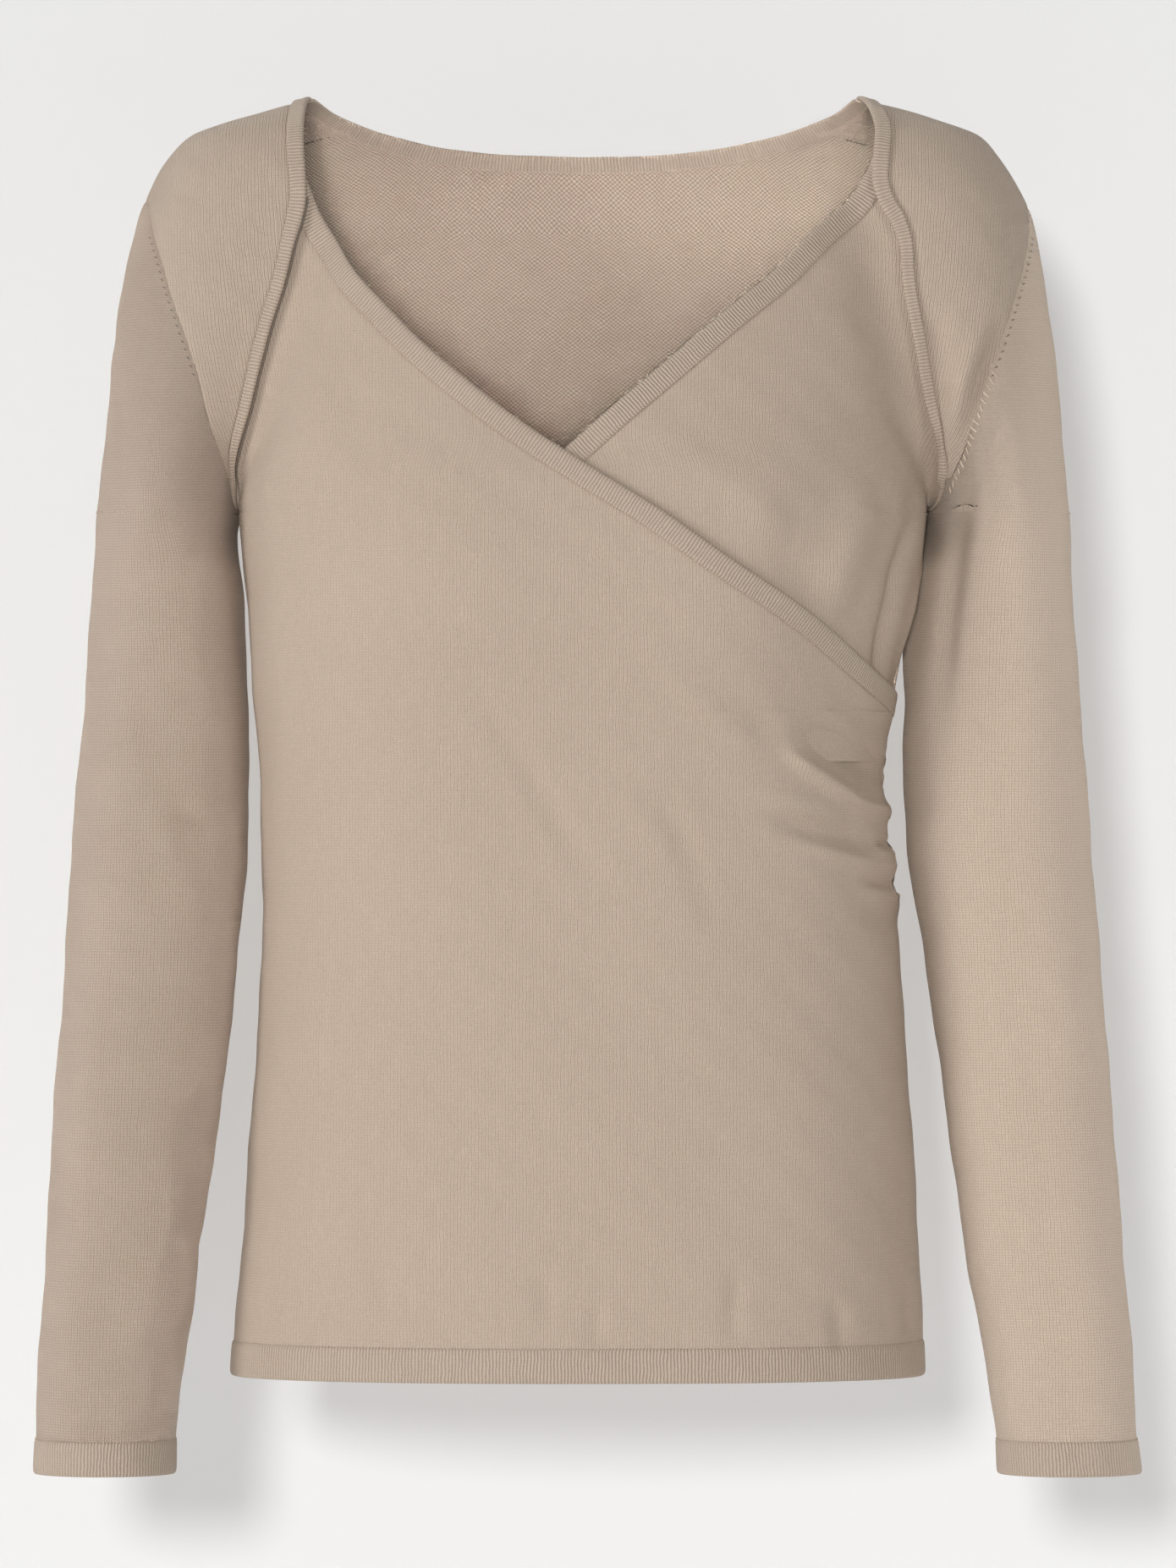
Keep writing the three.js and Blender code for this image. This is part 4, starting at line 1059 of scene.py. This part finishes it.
def silk(name, shade):
    """A new material of silk yarn, with its tone, painted gap shade included, laid into the base
    colour.
    """
    yarn = bpy.context.scene.sweater_yarn
    mat = bpy.data.materials.new(name)
    mat.use_nodes = True
    tree = mat.node_tree
    bsdf = tree.nodes["Principled BSDF"]
    tone = tree.nodes.new("ShaderNodeGroup")
    tone.node_tree = group("Silk Yarn Tone", [
        ("Color", "Color", (0.5, 0.4, 0.3, 1)), ("Height", "Float", 0.5),
        ("Depth", "Float", 0.3)], ("Color", "Color"), yarn_tone)
    tone.inputs["Color"].default_value = (*(c * shade for c in yarn.colour), 1)
    tree.links.new(tone.outputs["Color"], bsdf.inputs["Base Color"])
    bsdf.inputs["Specular IOR Level"].default_value = 0.3
    bsdf.inputs["Sheen Weight"].default_value = yarn.sheen
    bsdf.inputs["Sheen Roughness"].default_value = 0.45
    return mat, tone, bsdf


def knit_material(name):
    """A knitted finish, made once from its row of the table."""
    if name in bpy.data.materials:
        return bpy.data.materials[name]
    yarn = bpy.context.scene.sweater_yarn
    pattern, wale, course, relief_mm, depth, rows, roughness, shade = FINISHES[name]
    mat, tone, bsdf = silk(name, shade)
    tree = mat.node_tree
    nodes = Nodes(tree)
    knit = tree.nodes.new("ShaderNodeGroup")
    knit.node_tree = group(f"Knit {pattern}", KNIT_SOCKETS, ("Height", "Float"),
                           PATTERNS[pattern])
    tree.links.new(nodes.add("ShaderNodeUVMap", uv_map="Knit"), knit.inputs["Place"])
    column = yarn.rib if pattern == "ribbing" else yarn.wale
    knit.inputs["Wale"].default_value = column * wale
    knit.inputs["Course"].default_value = yarn.course * course
    knit.inputs["Rows"].default_value = rows
    height = knit.outputs["Height"]
    tone.inputs["Depth"].default_value = depth
    tree.links.new(height, tone.inputs["Height"])
    bump = tree.nodes.new("ShaderNodeBump")
    bump.inputs["Strength"].default_value = 1.0
    bump.inputs["Distance"].default_value = relief_mm * MM
    tree.links.new(height, bump.inputs["Height"])
    tree.links.new(bump.outputs["Normal"], bsdf.inputs["Normal"])
    tree.links.new(nodes.math("MULTIPLY_ADD", height, -0.12, roughness),
                   bsdf.inputs["Roughness"])
    bsdf.inputs["Sheen Tint"].default_value = (1.0, 0.9, 0.78, 1)
    return mat


def materials_for(kind):
    """The face and inside materials of a jersey piece, or the one of a rib."""
    if kind == "Rib":
        return [knit_material("Silk Rib")]
    return [knit_material(f"Silk {kind} Face"), knit_material("Silk Jersey Inside")]


# The one silk thread in three copies: plain, darkened as painted shade, and lightened as painted
# light.
THREAD_SHADES = {"Silk Thread": 1.0, "Silk Thread in Shade": 0.42, "Silk Thread in Light": 1.25}


def thread_material(name):
    """Plain yarn for stitches, with the same silk tone; its shade from the table is the plain
    colour, painted shade or painted light.
    """
    if name in bpy.data.materials:
        return bpy.data.materials[name]
    mat, _, bsdf = silk(name, THREAD_SHADES[name])
    bsdf.inputs["Roughness"].default_value = 0.75
    return mat


# ---- stitches --------------------------------------------------------------------------------
STITCH_INPUTS = (("Length", "Float", 0.0022), ("Yarn", "Float", 0.0005), ("Lean", "Float", 0.6),
                 ("Unevenness", "Float", 0.2), ("Seed", "Int", 3), ("Material", "Material", None))


def stitch_tree():
    """Lays a short rounded yarn on every point, along its seam and turned by the lean."""
    if "Sweater Stitches" in bpy.data.node_groups:
        return bpy.data.node_groups["Sweater Stitches"]
    tree = bpy.data.node_groups.new("Sweater Stitches", "GeometryNodeTree")
    face = tree.interface
    face.new_socket("Geometry", in_out="INPUT", socket_type="NodeSocketGeometry")
    for label, kind, default in STITCH_INPUTS:
        socket = face.new_socket(label, in_out="INPUT", socket_type=f"NodeSocket{kind}")
        if default is not None:
            socket.default_value = default
    face.new_socket("Geometry", in_out="OUTPUT", socket_type="NodeSocketGeometry")
    start, end = tree.nodes.new("NodeGroupInput").outputs, tree.nodes.new("NodeGroupOutput")
    nodes = Nodes(tree)

    def named(name):
        return nodes.add("GeometryNodeInputNamedAttribute", name, data_type="FLOAT_VECTOR")

    def chance(shift):
        """A random share either side of 0, scaled by the unevenness."""
        node = tree.nodes.new("FunctionNodeRandomValue")
        node.data_type = "FLOAT"
        node.inputs[2].default_value, node.inputs[3].default_value = -1.0, 1.0
        seed = nodes.math("ADD", start["Seed"], shift)
        tree.links.new(seed, node.inputs["Seed"])
        return nodes.math("MULTIPLY", node.outputs[1], start["Unevenness"])

    def align(axis, pivot, vector, rotation=None):
        """A rotation that turns an axis towards a vector."""
        node = tree.nodes.new("FunctionNodeAlignRotationToVector")
        node.axis, node.pivot_axis = axis, pivot
        tree.links.new(vector, node.inputs["Vector"])
        if rotation is not None:
            tree.links.new(rotation, node.inputs["Rotation"])
        return node.outputs[0]

    turn = align("Z", "X", named("up"), align("X", "AUTO", named("along")))
    lean = tree.nodes.new("FunctionNodeAxisAngleToRotation")
    lean.inputs["Axis"].default_value = (0, 0, 1)
    tree.links.new(nodes.math("ADD", start["Lean"], chance(0)), lean.inputs["Angle"])
    leaning = tree.nodes.new("FunctionNodeRotateRotation")
    leaning.rotation_space = "LOCAL"
    tree.links.new(turn, leaning.inputs[0])
    tree.links.new(lean.outputs[0], leaning.inputs[1])
    stretch = nodes.math("MULTIPLY", start["Length"], nodes.math("ADD", 1.0, chance(7)))
    thick = nodes.math("MULTIPLY", start["Yarn"], nodes.math("ADD", 1.0, chance(13)))
    size = nodes.add("ShaderNodeCombineXYZ", stretch, thick, start["Yarn"])
    ball = tree.nodes.new("GeometryNodeMeshUVSphere")
    ball.inputs["Segments"].default_value, ball.inputs["Rings"].default_value = 6, 4
    ball.inputs["Radius"].default_value = 0.5
    smooth = nodes.add("GeometryNodeSetShadeSmooth", ball.outputs[0])
    yarns = tree.nodes.new("GeometryNodeInstanceOnPoints")
    for key, value in (("Points", start["Geometry"]), ("Instance", smooth),
                       ("Rotation", leaning.outputs[0]), ("Scale", size)):
        tree.links.new(value, yarns.inputs[key])
    real = nodes.add("GeometryNodeRealizeInstances", yarns.outputs[0])
    coat = tree.nodes.new("GeometryNodeSetMaterial")
    tree.links.new(real, coat.inputs["Geometry"])
    tree.links.new(start["Material"], coat.inputs["Material"])
    tree.links.new(coat.outputs[0], end.inputs[0])
    return tree


def stitches(name, rows, thread="Silk Thread", **values):
    """One piece of stitches from rows of (points, directions along the seam, normals)."""
    at, along, up = (np.concatenate(k) for k in zip(*rows))
    me = bpy.data.meshes.new(name)
    me.vertices.add(len(at))
    me.vertices.foreach_set("co", (at * MM).ravel())
    for key, vectors in (("along", along), ("up", up)):
        layer = me.attributes.new(key, "FLOAT_VECTOR", "POINT")
        layer.data.foreach_set("vector", vectors.astype(np.float32).ravel())
    ob = bpy.data.objects.new(name, me)
    bpy.context.scene.collection.objects.link(ob)
    tree = stitch_tree()
    modifier = ob.modifiers.new("Stitches", "NODES")
    modifier.node_group = tree
    sockets = {i.name: i.identifier for i in tree.interface.items_tree if i.in_out == "INPUT"}
    modifier[sockets["Material"]] = thread_material(thread)
    for key, value in values.items():
        modifier[sockets[key.capitalize()]] = value
    ob.update_tag()
    view = bpy.context.evaluated_depsgraph_get()
    mesh = bpy.data.meshes.new_from_object(ob.evaluated_get(view), depsgraph=view)
    ob.modifiers.clear()
    ob.data = mesh
    mesh.name = name
    bpy.data.meshes.remove(me)
    if not len(mesh.polygons):
        raise RuntimeError(f"{name} has no stitches")
    finish_piece(ob, None)


def seam_row(line, up, pitch, lift):
    """Places at an even pitch along a line on the cloth, lifted off it."""
    gone = runs(line, 0)
    count = max(int(gone[-1] / pitch), 2)
    at = (np.arange(count) + 0.5) * gone[-1] / count
    tangent = np.gradient(line, axis=0)
    p, n, d = (np.stack([np.interp(at, gone, v[:, k]) for k in range(3)], 1)
               for v in (line, up, tangent))
    d /= np.linalg.norm(d, axis=1, keepdims=True)
    n /= np.linalg.norm(n, axis=1, keepdims=True)
    return p + n * lift, d, n


def seam_stitches(name, seams, pitch=1.6, lift=0.45, **values):
    """Linking stitches along seams given as (x, t, face, layer, sink)."""
    stitches(name, [seam_row(*laid(*seam), pitch, lift) for seam in seams], **values)


# ---- settings --------------------------------------------------------------------------------
class SweaterYarn(bpy.types.PropertyGroup):
    colour: FloatVectorProperty(
        name="Colour", description="Colour of the silk yarn", subtype="COLOR", size=3,
        min=0, max=1, default=(0.507, 0.403, 0.318))
    wale: FloatProperty(name="Column", description="Width of a knit column, in millimetres",
                        default=1.64, min=0.6, max=6)
    course: FloatProperty(name="Row", description="Height of a knit row, in millimetres",
                          default=1.27, min=0.5, max=6)
    rib: FloatProperty(name="Rib", description="Width of a rib, in millimetres",
                       default=1.62, min=0.6, max=6)
    sheen: FloatProperty(name="Sheen", description="Strength of the silk's sheen",
                         default=0.25, min=0, max=1, subtype="FACTOR")


class SweaterShape(bpy.types.PropertyGroup):
    columns: IntProperty(name="Columns", description="Columns in the back and the wide front",
                         default=150, min=80, max=190)
    sleeve_columns: IntProperty(name="Sleeve Columns",
                                description="Columns in half of a sleeve", default=74, min=20,
                                max=100)


class SweaterStage(bpy.types.PropertyGroup):
    backdrop: FloatVectorProperty(
        name="Backdrop", description="Colour of the floor and the wall", subtype="COLOR", size=3,
        min=0, max=1, default=(0.8, 0.8, 0.8))
    front: FloatProperty(name="Front Light", description="Strength of the light from the front",
                         default=1.37, min=0)
    key: FloatProperty(name="Key Light", description="Strength of the light from the left",
                       default=1.6, min=0)
    fill: FloatProperty(name="Fill Light", description="Strength of the light from the right",
                        default=0.5, min=0)
    edge: FloatProperty(name="Edge Light", description="Strength of the light along one sleeve",
                        default=2.1, min=0)
    inner: FloatProperty(name="Inner Light", description="Strength of the light into the neck",
                         default=1.62, min=0)
    arms: FloatProperty(name="Sleeve Light", description="Strength of the two lights that each"
                        " fill one sleeve", default=0.95, min=0)
    back: FloatProperty(name="Back Light", description="Strength of the light from behind",
                        default=1.8, min=0)
    paper: FloatProperty(name="Paper Light", description="Strength of the light on the backdrop",
                         default=1.43, min=0)
    shadow: FloatProperty(name="Shadow Light", description="Strength of the light that casts the"
                          " sweater's shadow on the backdrop", default=1.17, min=0)
    room: FloatProperty(name="Room Light", description="Strength of the light all round",
                        default=0.14, min=0)
    distance: FloatProperty(
        name="Camera Distance", description="From the middle of the sweater to the camera",
        default=5.0, min=1, unit="LENGTH")


def finish_piece(ob, node):
    """Every piece rides on the one body and stands in for its node, which is hidden."""
    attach(ob, "root")
    if node:
        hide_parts(node)


class BuildBack(bpy.types.Operator):
    """Back panel, cut straight to the armholes and curved at the neck"""
    bl_idname = "sweater.back"
    bl_label = "Back Panel"

    def execute(self, context):
        ob = back_panel(materials_for("Jersey"), context.scene.sweater_shape.columns)
        finish_piece(ob, "back_panel")
        return {"FINISHED"}


class BuildFronts(bpy.types.Operator):
    """The wide front that laps over, and the short one beneath it"""
    bl_idname = "sweater.fronts"
    bl_label = "Wrap Fronts"

    def execute(self, context):
        n = context.scene.sweater_shape.columns
        cloth = materials_for("Jersey")
        t = heights(*ROWS_TOP, (WRAP_END, 1.9), (-385, 1.3), (-430, 2.2), (HEM_TOP - 0.3, 2.9))
        end = np.where(t >= WRAP_END, wrap_seam("overlap", t)[:, 0], edge(LEFT, t))
        ob = panel("front_overlap_jersey", t, tucked(RIGHT, t), end, n + 8, cloth, overlap_sink,
                   bias=0.11)
        finish_piece(ob, "front_overlap")
        t = heights(*ROWS_TOP, (UNDERLAP_END, 2.3))
        start = np.where(t >= WRAP_END, wrap_seam("underlap", t)[:, 0], edge(RIGHT, t))
        ob = panel("front_underlap_jersey", t, start, tucked(LEFT, t), n - 40, cloth,
                   underlap_sink, "under", LEFT)
        finish_piece(ob, "front_underlap")
        return {"FINISHED"}


class BuildYokes(bpy.types.Operator):
    """The two shoulder yokes and the narrow ribs along them"""
    bl_idname = "sweater.yokes"
    bl_label = "Yokes"

    def execute(self, context):
        tip = ease(YOKE_TIP, RIB_ROWS[-1], RIB_ROWS)
        for side in (RIGHT, LEFT):
            label, t = side_name(side), YOKE_ROWS
            ends = sorted((yoke_seam(side)[:, 0], edge(side, t)), key=lambda x: x[0])
            ob = panel(f"yoke_{label}_jersey", t, *ends, 40, materials_for("Yoke"), anchor=side)
            finish_piece(ob, f"yoke_{label}")
            seam = yoke_seam(side, RIB_ROWS)
            free = free_edge(seam, FRONT, YOKE_RIB("width", RIB_ROWS) * (1 - 0.8 * tip), -side)
            ob = band(f"yoke_{label}_rib", seam, free, FRONT, WRAP_SECTION, materials_for("Rib"),
                      self.proud, slim=1 - 0.6 * tip[:, None])
            finish_piece(ob, f"yoke_band_{label}")
        return {"FINISHED"}

    @staticmethod
    def proud(x, t):
        """The ribs stand a little proud, and come down to the cloth at their tips."""
        return no_sink(x, t) - 0.9 * ease(RIB_ROWS[-1] - 6, YOKE_TIP, t)


class BuildNeckRibs(bpy.types.Operator):
    """The folded ribs along both wrap edges and the back neck"""
    bl_idname = "sweater.neck_ribs"
    bl_label = "Neck Ribs"

    def execute(self, context):
        rib = materials_for("Rib")
        ob = band("overlap_rib", wrap_seam("overlap"), OVERLAP_FREE, FRONT, WRAP_SECTION, rib,
                  overlap_sink)
        finish_piece(ob, "neck_band_overlap")
        ob = band("underlap_rib", wrap_seam("underlap"), UNDERLAP_FREE, FRONT, WRAP_SECTION, rib,
                  underlap_sink, "under")
        finish_piece(ob, "neck_band_underlap")
        seam = back_neck()
        free = free_edge(seam, BACK, np.full(len(seam), NECK_WIDTH), -1)
        ob = band("back_neck_rib", seam, free, BACK, WRAP_SECTION, rib)
        finish_piece(ob, "neck_band_back")
        return {"FINISHED"}


class BuildSeams(bpy.types.Operator):
    """Linking stitches, fashioning marks and the overlocked shoulder seams"""
    bl_idname = "sweater.seams"
    bl_label = "Seams and Marks"

    def execute(self, context):
        self.linking()
        self.cuffs()
        self.marks()
        self.overlock()
        return {"FINISHED"}

    def linking(self):
        """Stitches along the wrap, the yokes, the back neck and the hem, and a dark thread of
        painted shadow beside the right yoke's rib.
        """
        seam_stitches("overlap_linking",
                      [(*wrap_seam("overlap").T, FRONT, "outer", overlap_sink)])
        seam_stitches("underlap_linking",
                      [(*wrap_seam("underlap").T, FRONT, "under", underlap_sink)], lean=-0.6)
        seam_stitches("yoke_linking", [(*yoke_seam(side).T, FRONT, "outer", no_sink)
                                       for side in (RIGHT, LEFT)], lift=0.5, pitch=1.7)
        # A dark thread laid beside the right yoke's rib: painted shadow where the rib stands over
        # the front.
        t = np.linspace(*YOKE_SHADE, 200)
        x = -(YOKE_SEAM("right", t) - YOKE_RIB("width", t) - 0.5)
        seam_stitches("yoke_rib_shade", [(x, t, FRONT, "outer", no_sink)], pitch=2.0, lift=-0.6,
                      thread="Silk Thread in Shade", length=0.0042, yarn=0.0011, lean=0.0,
                      unevenness=0.06)
        seam_stitches("neck_linking", [(*back_neck().T, BACK, "outer", no_sink)],
                      lift=-JERSEY - 0.25, pitch=2.1, length=0.0016, lean=0.2)
        x = edge(LEFT, HEM_TOP) * np.linspace(-0.998, 0.998, 400)
        seam_stitches("hem_linking", [(x, np.full_like(x, HEM_TOP), face, "outer", no_sink)
                                      for face in (FRONT, BACK)],
                      lift=0.3, length=0.0019, lean=0.9)

    def cuffs(self):
        """Stitches where the cuffs are joined to the sleeves."""
        rows = []
        for side in (RIGHT, LEFT):
            angle = np.linspace(-math.pi, math.pi, 160)
            p = on_sleeve(side, angle, np.full_like(angle, CUFF_TOP))
            n = normal_of(p, sleeve_field)
            p = p + n * relief(p, n, "sleeve")[..., None]
            rows.append(seam_row(p, n, 1.6, 0.3))
        stitches("cuff_linking", rows, length=0.0019, lean=0.9)

    def marks(self):
        """Fashioning marks beside the armholes with dark thread as painted shade in their slits,
        and the rough seam of one, its whiskers lightened as painted light.
        """
        rows, slit_shades = [], []
        t = np.linspace(*MARKS, 90)
        for side in (RIGHT, LEFT):
            x = side * (ARMHOLE(side_name(side), t) + MARK_AWAY)
            for face in (FRONT, BACK):
                at, along, up = seam_row(*laid(x, t, face, "sleeve", no_sink), MARK_PITCH, 0.1)
                across = np.cross(up, along) * side * face
                lean = along * 0.8 + across * 0.6
                # Each mark's slit is a dark thread: painted shade.
                slit_shades.append((at, lean, up))
                rows.append((at + across * 0.8, lean, up))
        stitches("fashioning_marks", rows, length=0.0026, yarn=0.0009, lean=0.0)
        stitches("fashioning_slits", slit_shades, "Silk Thread in Shade", length=0.0024, yarn=0.0008,
                 lean=0.0)
        t = np.linspace(*ROUGH_SEAM, 60)
        p, n = laid(ARMHOLE("left", t) + 2.0, t, FRONT, "sleeve", no_sink)
        # The whiskers are the lighter copy of the thread: painted light where they stand out of the
        # fold's shade.
        stitches("armhole_whiskers", [seam_row(p, n, 3.4, 0.7)], "Silk Thread in Light",
                 length=0.0048, yarn=0.0009, lean=0.9, unevenness=0.35)

    def overlock(self):
        """Loose overlock threads on the inner shoulder seams by the neck, above a dark thread of
        painted shade along the seam.
        """
        rows, dark = [], []
        rng = np.random.default_rng(5)
        line = np.linspace(*OVERLOCK, 60)
        for side in (RIGHT, LEFT):
            level = level_on_back(side * line, np.interp(line, *SHOULDER_SEAM))
            p, n = laid(side * line, level, BACK, "outer", no_sink)
            # A dark thread along the inner shoulder seam: painted shade.
            dark.append(seam_row(p, n, 1.6, -JERSEY - 0.3))
            a = rng.uniform(*OVERLOCK, OVERLOCK_THREADS)
            top = top_of_back(side * a)
            t = top + (np.interp(a, line, level) - top) * rng.uniform(0.04, 0.94, len(a))
            p, n = laid(side * a, t, BACK, "outer", no_sink)
            turn = rng.normal(size=p.shape)
            along = turn - n * (turn * n).sum(1)[:, None]
            along /= np.linalg.norm(along, axis=1, keepdims=True)
            rows.append((p - n * (JERSEY + rng.uniform(0.2, 1.3, len(a))[:, None]), along, n))
        stitches("shoulder_overlock", rows, length=0.0042, yarn=0.0006, unevenness=0.3)
        stitches("shoulder_seam_shade", dark, "Silk Thread in Shade", length=0.0026,
                 yarn=0.0008, lean=0.0)


class BuildSleeves(bpy.types.Operator):
    """The two long sleeves with their folded cuffs"""
    bl_idname = "sweater.sleeves"
    bl_label = "Sleeves"

    def execute(self, context):
        for side in (RIGHT, LEFT):
            label = side_name(side)
            ob = sleeve(f"sleeve_{label}_jersey", side, materials_for("Sleeve"),
                        context.scene.sweater_shape.sleeve_columns)
            finish_piece(ob, f"sleeve_{label}")
            ob = cuff(f"cuff_{label}_rib", side, materials_for("Rib"))
            finish_piece(ob, f"cuff_{label}")
        return {"FINISHED"}


class BuildHem(bpy.types.Operator):
    """The folded hem rib, front and back, joined at the side seams"""
    bl_idname = "sweater.hem"
    bl_label = "Hem Rib"

    def execute(self, context):
        t = np.array([HEM_TOP, HEM_END])
        for face, name in ((FRONT, "front"), (BACK, "back")):
            x = even(edge(RIGHT, t), edge(LEFT, t), t, face, 180)
            seam, free = (np.stack([row, np.full_like(row, end)], 1) for row, end in zip(x, t))
            ob = band(f"hem_{name}_rib", seam, free, face, HEM_SECTION, materials_for("Rib"),
                      round_body=True)
            finish_piece(ob, f"hem_band_{name}")
        return {"FINISHED"}


# Lamps: direction in degrees, round from the front and up; the setting that holds the strength;
# spread in degrees; what it lights, and what casts its shadow where that isn't everything.
LAMPS = {
    "front_light": ((-5, 1), "front", 8, "garment", None),
    "key_light": ((-58, 8), "key", 24, "garment", None),
    "fill_light": ((40, 6), "fill", 24, "garment", None),
    "edge_light": ((98, 8), "edge", 30, "left_arm", None),
    "inner_light": ((0, -4), "inner", 12, "inside", None),
    "left_arm_light": ((-2, 4), "arms", 30, "left_sleeve", "paper"),
    "right_arm_light": ((92, 4), "arms", 30, "right_sleeve", "paper"),
    "back_light": ((-146, 12), "back", 24, "garment", None),
    "paper_light": ((-8.4, 9.5), "shadow", 7.5, "paper", None),
    "paper_fill": ((0, 25), "paper", 30, "paper", "paper")}
LIT = {
    "paper": ["backdrop"],
    "left_arm": ["sleeve_left_jersey", "cuff_left_rib"],
    "left_sleeve": ["sleeve_left_jersey"],
    "right_sleeve": ["sleeve_right_jersey"],
    "inside": ["back_panel_jersey", "back_neck_rib", "neck_linking", "shoulder_overlock"]}
VIEW_CENTRE = {"x": 0.002, "z": -0.3294}
LENS = 238.5
FLOOR_BELOW, WALL_BEHIND, PAPER_BEND = 0.2, 0.12, 0.03
PAPER_HALF, PAPER_NEAR, PAPER_HIGH = 3.5, -6.0, 3.2


class BuildStage(bpy.types.Operator):
    """Camera, pale floor and wall, and soft studio light"""
    bl_idname = "sweater.stage"
    bl_label = "Stage"

    def execute(self, context):
        scene, stage = context.scene, context.scene.sweater_stage
        scene.view_settings.view_transform = "Standard"
        cam = bpy.data.cameras.new("sweater_camera")
        cam.sensor_width, cam.lens, cam.clip_end = 36.0, LENS, 60.0
        ob = bpy.data.objects.new("sweater_camera", cam)
        ob.location = (VIEW_CENTRE["x"], -stage.distance, VIEW_CENTRE["z"])
        ob.rotation_euler = (math.pi / 2, 0, 0)
        scene.collection.objects.link(ob)
        scene.camera = ob
        self.backdrop(scene, stage)
        groups = {name: self.chosen(name, pieces) for name, pieces in LIT.items()}
        groups["garment"] = self.chosen("garment", LIT["paper"], "EXCLUDE")
        for name, (angles, setting, spread, lit, shading) in LAMPS.items():
            self.sun(name, angles, getattr(stage, setting), spread, groups[lit],
                     groups.get(shading))
        world = bpy.data.worlds.new("studio")
        world.use_nodes = True
        world.node_tree.nodes["Background"].inputs["Color"].default_value = (1, 1, 1, 1)
        world.node_tree.nodes["Background"].inputs["Strength"].default_value = stage.room
        scene.world = world
        return {"FINISHED"}

    def chosen(self, name, pieces, state="INCLUDE"):
        """A collection of what a lamp lights, or leaves out."""
        held = bpy.data.collections.new(name)
        for piece in pieces:
            held.objects.link(bpy.data.objects[piece])
        for entry in held.collection_objects:
            entry.light_linking.link_state = state
        return held

    def sun(self, name, angles, strength, spread, lit, shading):
        """A broad soft lamp."""
        light = bpy.data.lights.new(name, "SUN")
        light.energy, light.angle = strength, math.radians(spread)
        lamp = bpy.data.objects.new(name, light)
        turn, up = (math.radians(a) for a in angles)
        away = Vector((math.sin(turn) * math.cos(up), -math.cos(turn) * math.cos(up),
                       math.sin(up)))
        lamp.location = away
        lamp.rotation_euler = away.to_track_quat("Z", "Y").to_euler()
        lamp.light_linking.receiver_collection = lit
        if shading:
            lamp.light_linking.blocker_collection = shading
        bpy.context.scene.collection.objects.link(lamp)

    def backdrop(self, scene, stage):
        """A floor that curves up into a wall; the wall is clear from behind."""
        floor, wall = CAD_BOX[0][2] - FLOOR_BELOW, CAD_BOX[1][1] + WALL_BEHIND
        bend = [(wall - PAPER_BEND * (1 - math.sin(a)), floor + PAPER_BEND * (1 - math.cos(a)))
                for a in np.linspace(0, math.pi / 2, 9)]
        line = [(PAPER_NEAR, floor), *bend, (wall, floor + PAPER_HIGH)]
        me = bpy.data.meshes.new("backdrop")
        bm = bmesh.new()
        rows = [[bm.verts.new((x, y, z)) for x in (-PAPER_HALF, PAPER_HALF)] for y, z in line]
        for a, b in zip(rows[:-1], rows[1:]):
            bm.faces.new((a[0], a[1], b[1], b[0]))
        bm.to_mesh(me)
        bm.free()
        me.shade_smooth()
        me.materials.append(self.paper(stage))
        ob = bpy.data.objects.new("backdrop", me)
        scene.collection.objects.link(ob)

    def paper(self, stage):
        """Matt paper, seen from its front only."""
        mat = bpy.data.materials.new("Studio Paper")
        mat.use_nodes = True
        tree = mat.node_tree
        bsdf = tree.nodes["Principled BSDF"]
        bsdf.inputs["Base Color"].default_value = (*stage.backdrop, 1)
        bsdf.inputs["Roughness"].default_value = 1.0
        bsdf.inputs["Specular IOR Level"].default_value = 0.0
        clear = tree.nodes.new("ShaderNodeBsdfTransparent")
        swap = tree.nodes.new("ShaderNodeMixShader")
        tree.links.new(Nodes(tree).add("ShaderNodeNewGeometry", out=6), swap.inputs[0])
        tree.links.new(bsdf.outputs[0], swap.inputs[1])
        tree.links.new(clear.outputs[0], swap.inputs[2])
        tree.links.new(swap.outputs[0], tree.nodes["Material Output"].inputs[0])
        return mat


STEPS = (BuildBack, BuildFronts, BuildYokes, BuildNeckRibs, BuildSleeves, BuildHem, BuildSeams,
         BuildStage)


class SweaterPanel(bpy.types.Panel):
    """Settings and steps of the sweater"""
    bl_idname = "VIEW3D_PT_sweater"
    bl_label = "Silk Wrap Sweater"
    bl_space_type = "VIEW_3D"
    bl_region_type = "UI"
    bl_category = "Sweater"

    def draw(self, context):
        for settings in ("sweater_yarn", "sweater_shape", "sweater_stage"):
            box = self.layout.box()
            holder = getattr(context.scene, settings)
            for key in holder.__annotations__:
                box.prop(holder, key)
        for step in STEPS:
            self.layout.operator(step.bl_idname)


CLASSES = (SweaterYarn, SweaterShape, SweaterStage, *STEPS, SweaterPanel)


def register():
    for cls in CLASSES:
        bpy.utils.register_class(cls)
    bpy.types.Scene.sweater_yarn = PointerProperty(type=SweaterYarn)
    bpy.types.Scene.sweater_shape = PointerProperty(type=SweaterShape)
    bpy.types.Scene.sweater_stage = PointerProperty(type=SweaterStage)


def unregister():
    del bpy.types.Scene.sweater_yarn, bpy.types.Scene.sweater_shape, bpy.types.Scene.sweater_stage
    for cls in reversed(CLASSES):
        bpy.utils.unregister_class(cls)


def main():
    register()
    for step in STEPS:
        kind, name = step.bl_idname.split(".")
        getattr(getattr(bpy.ops, kind), name)()


if __name__ == "__main__":
    main()
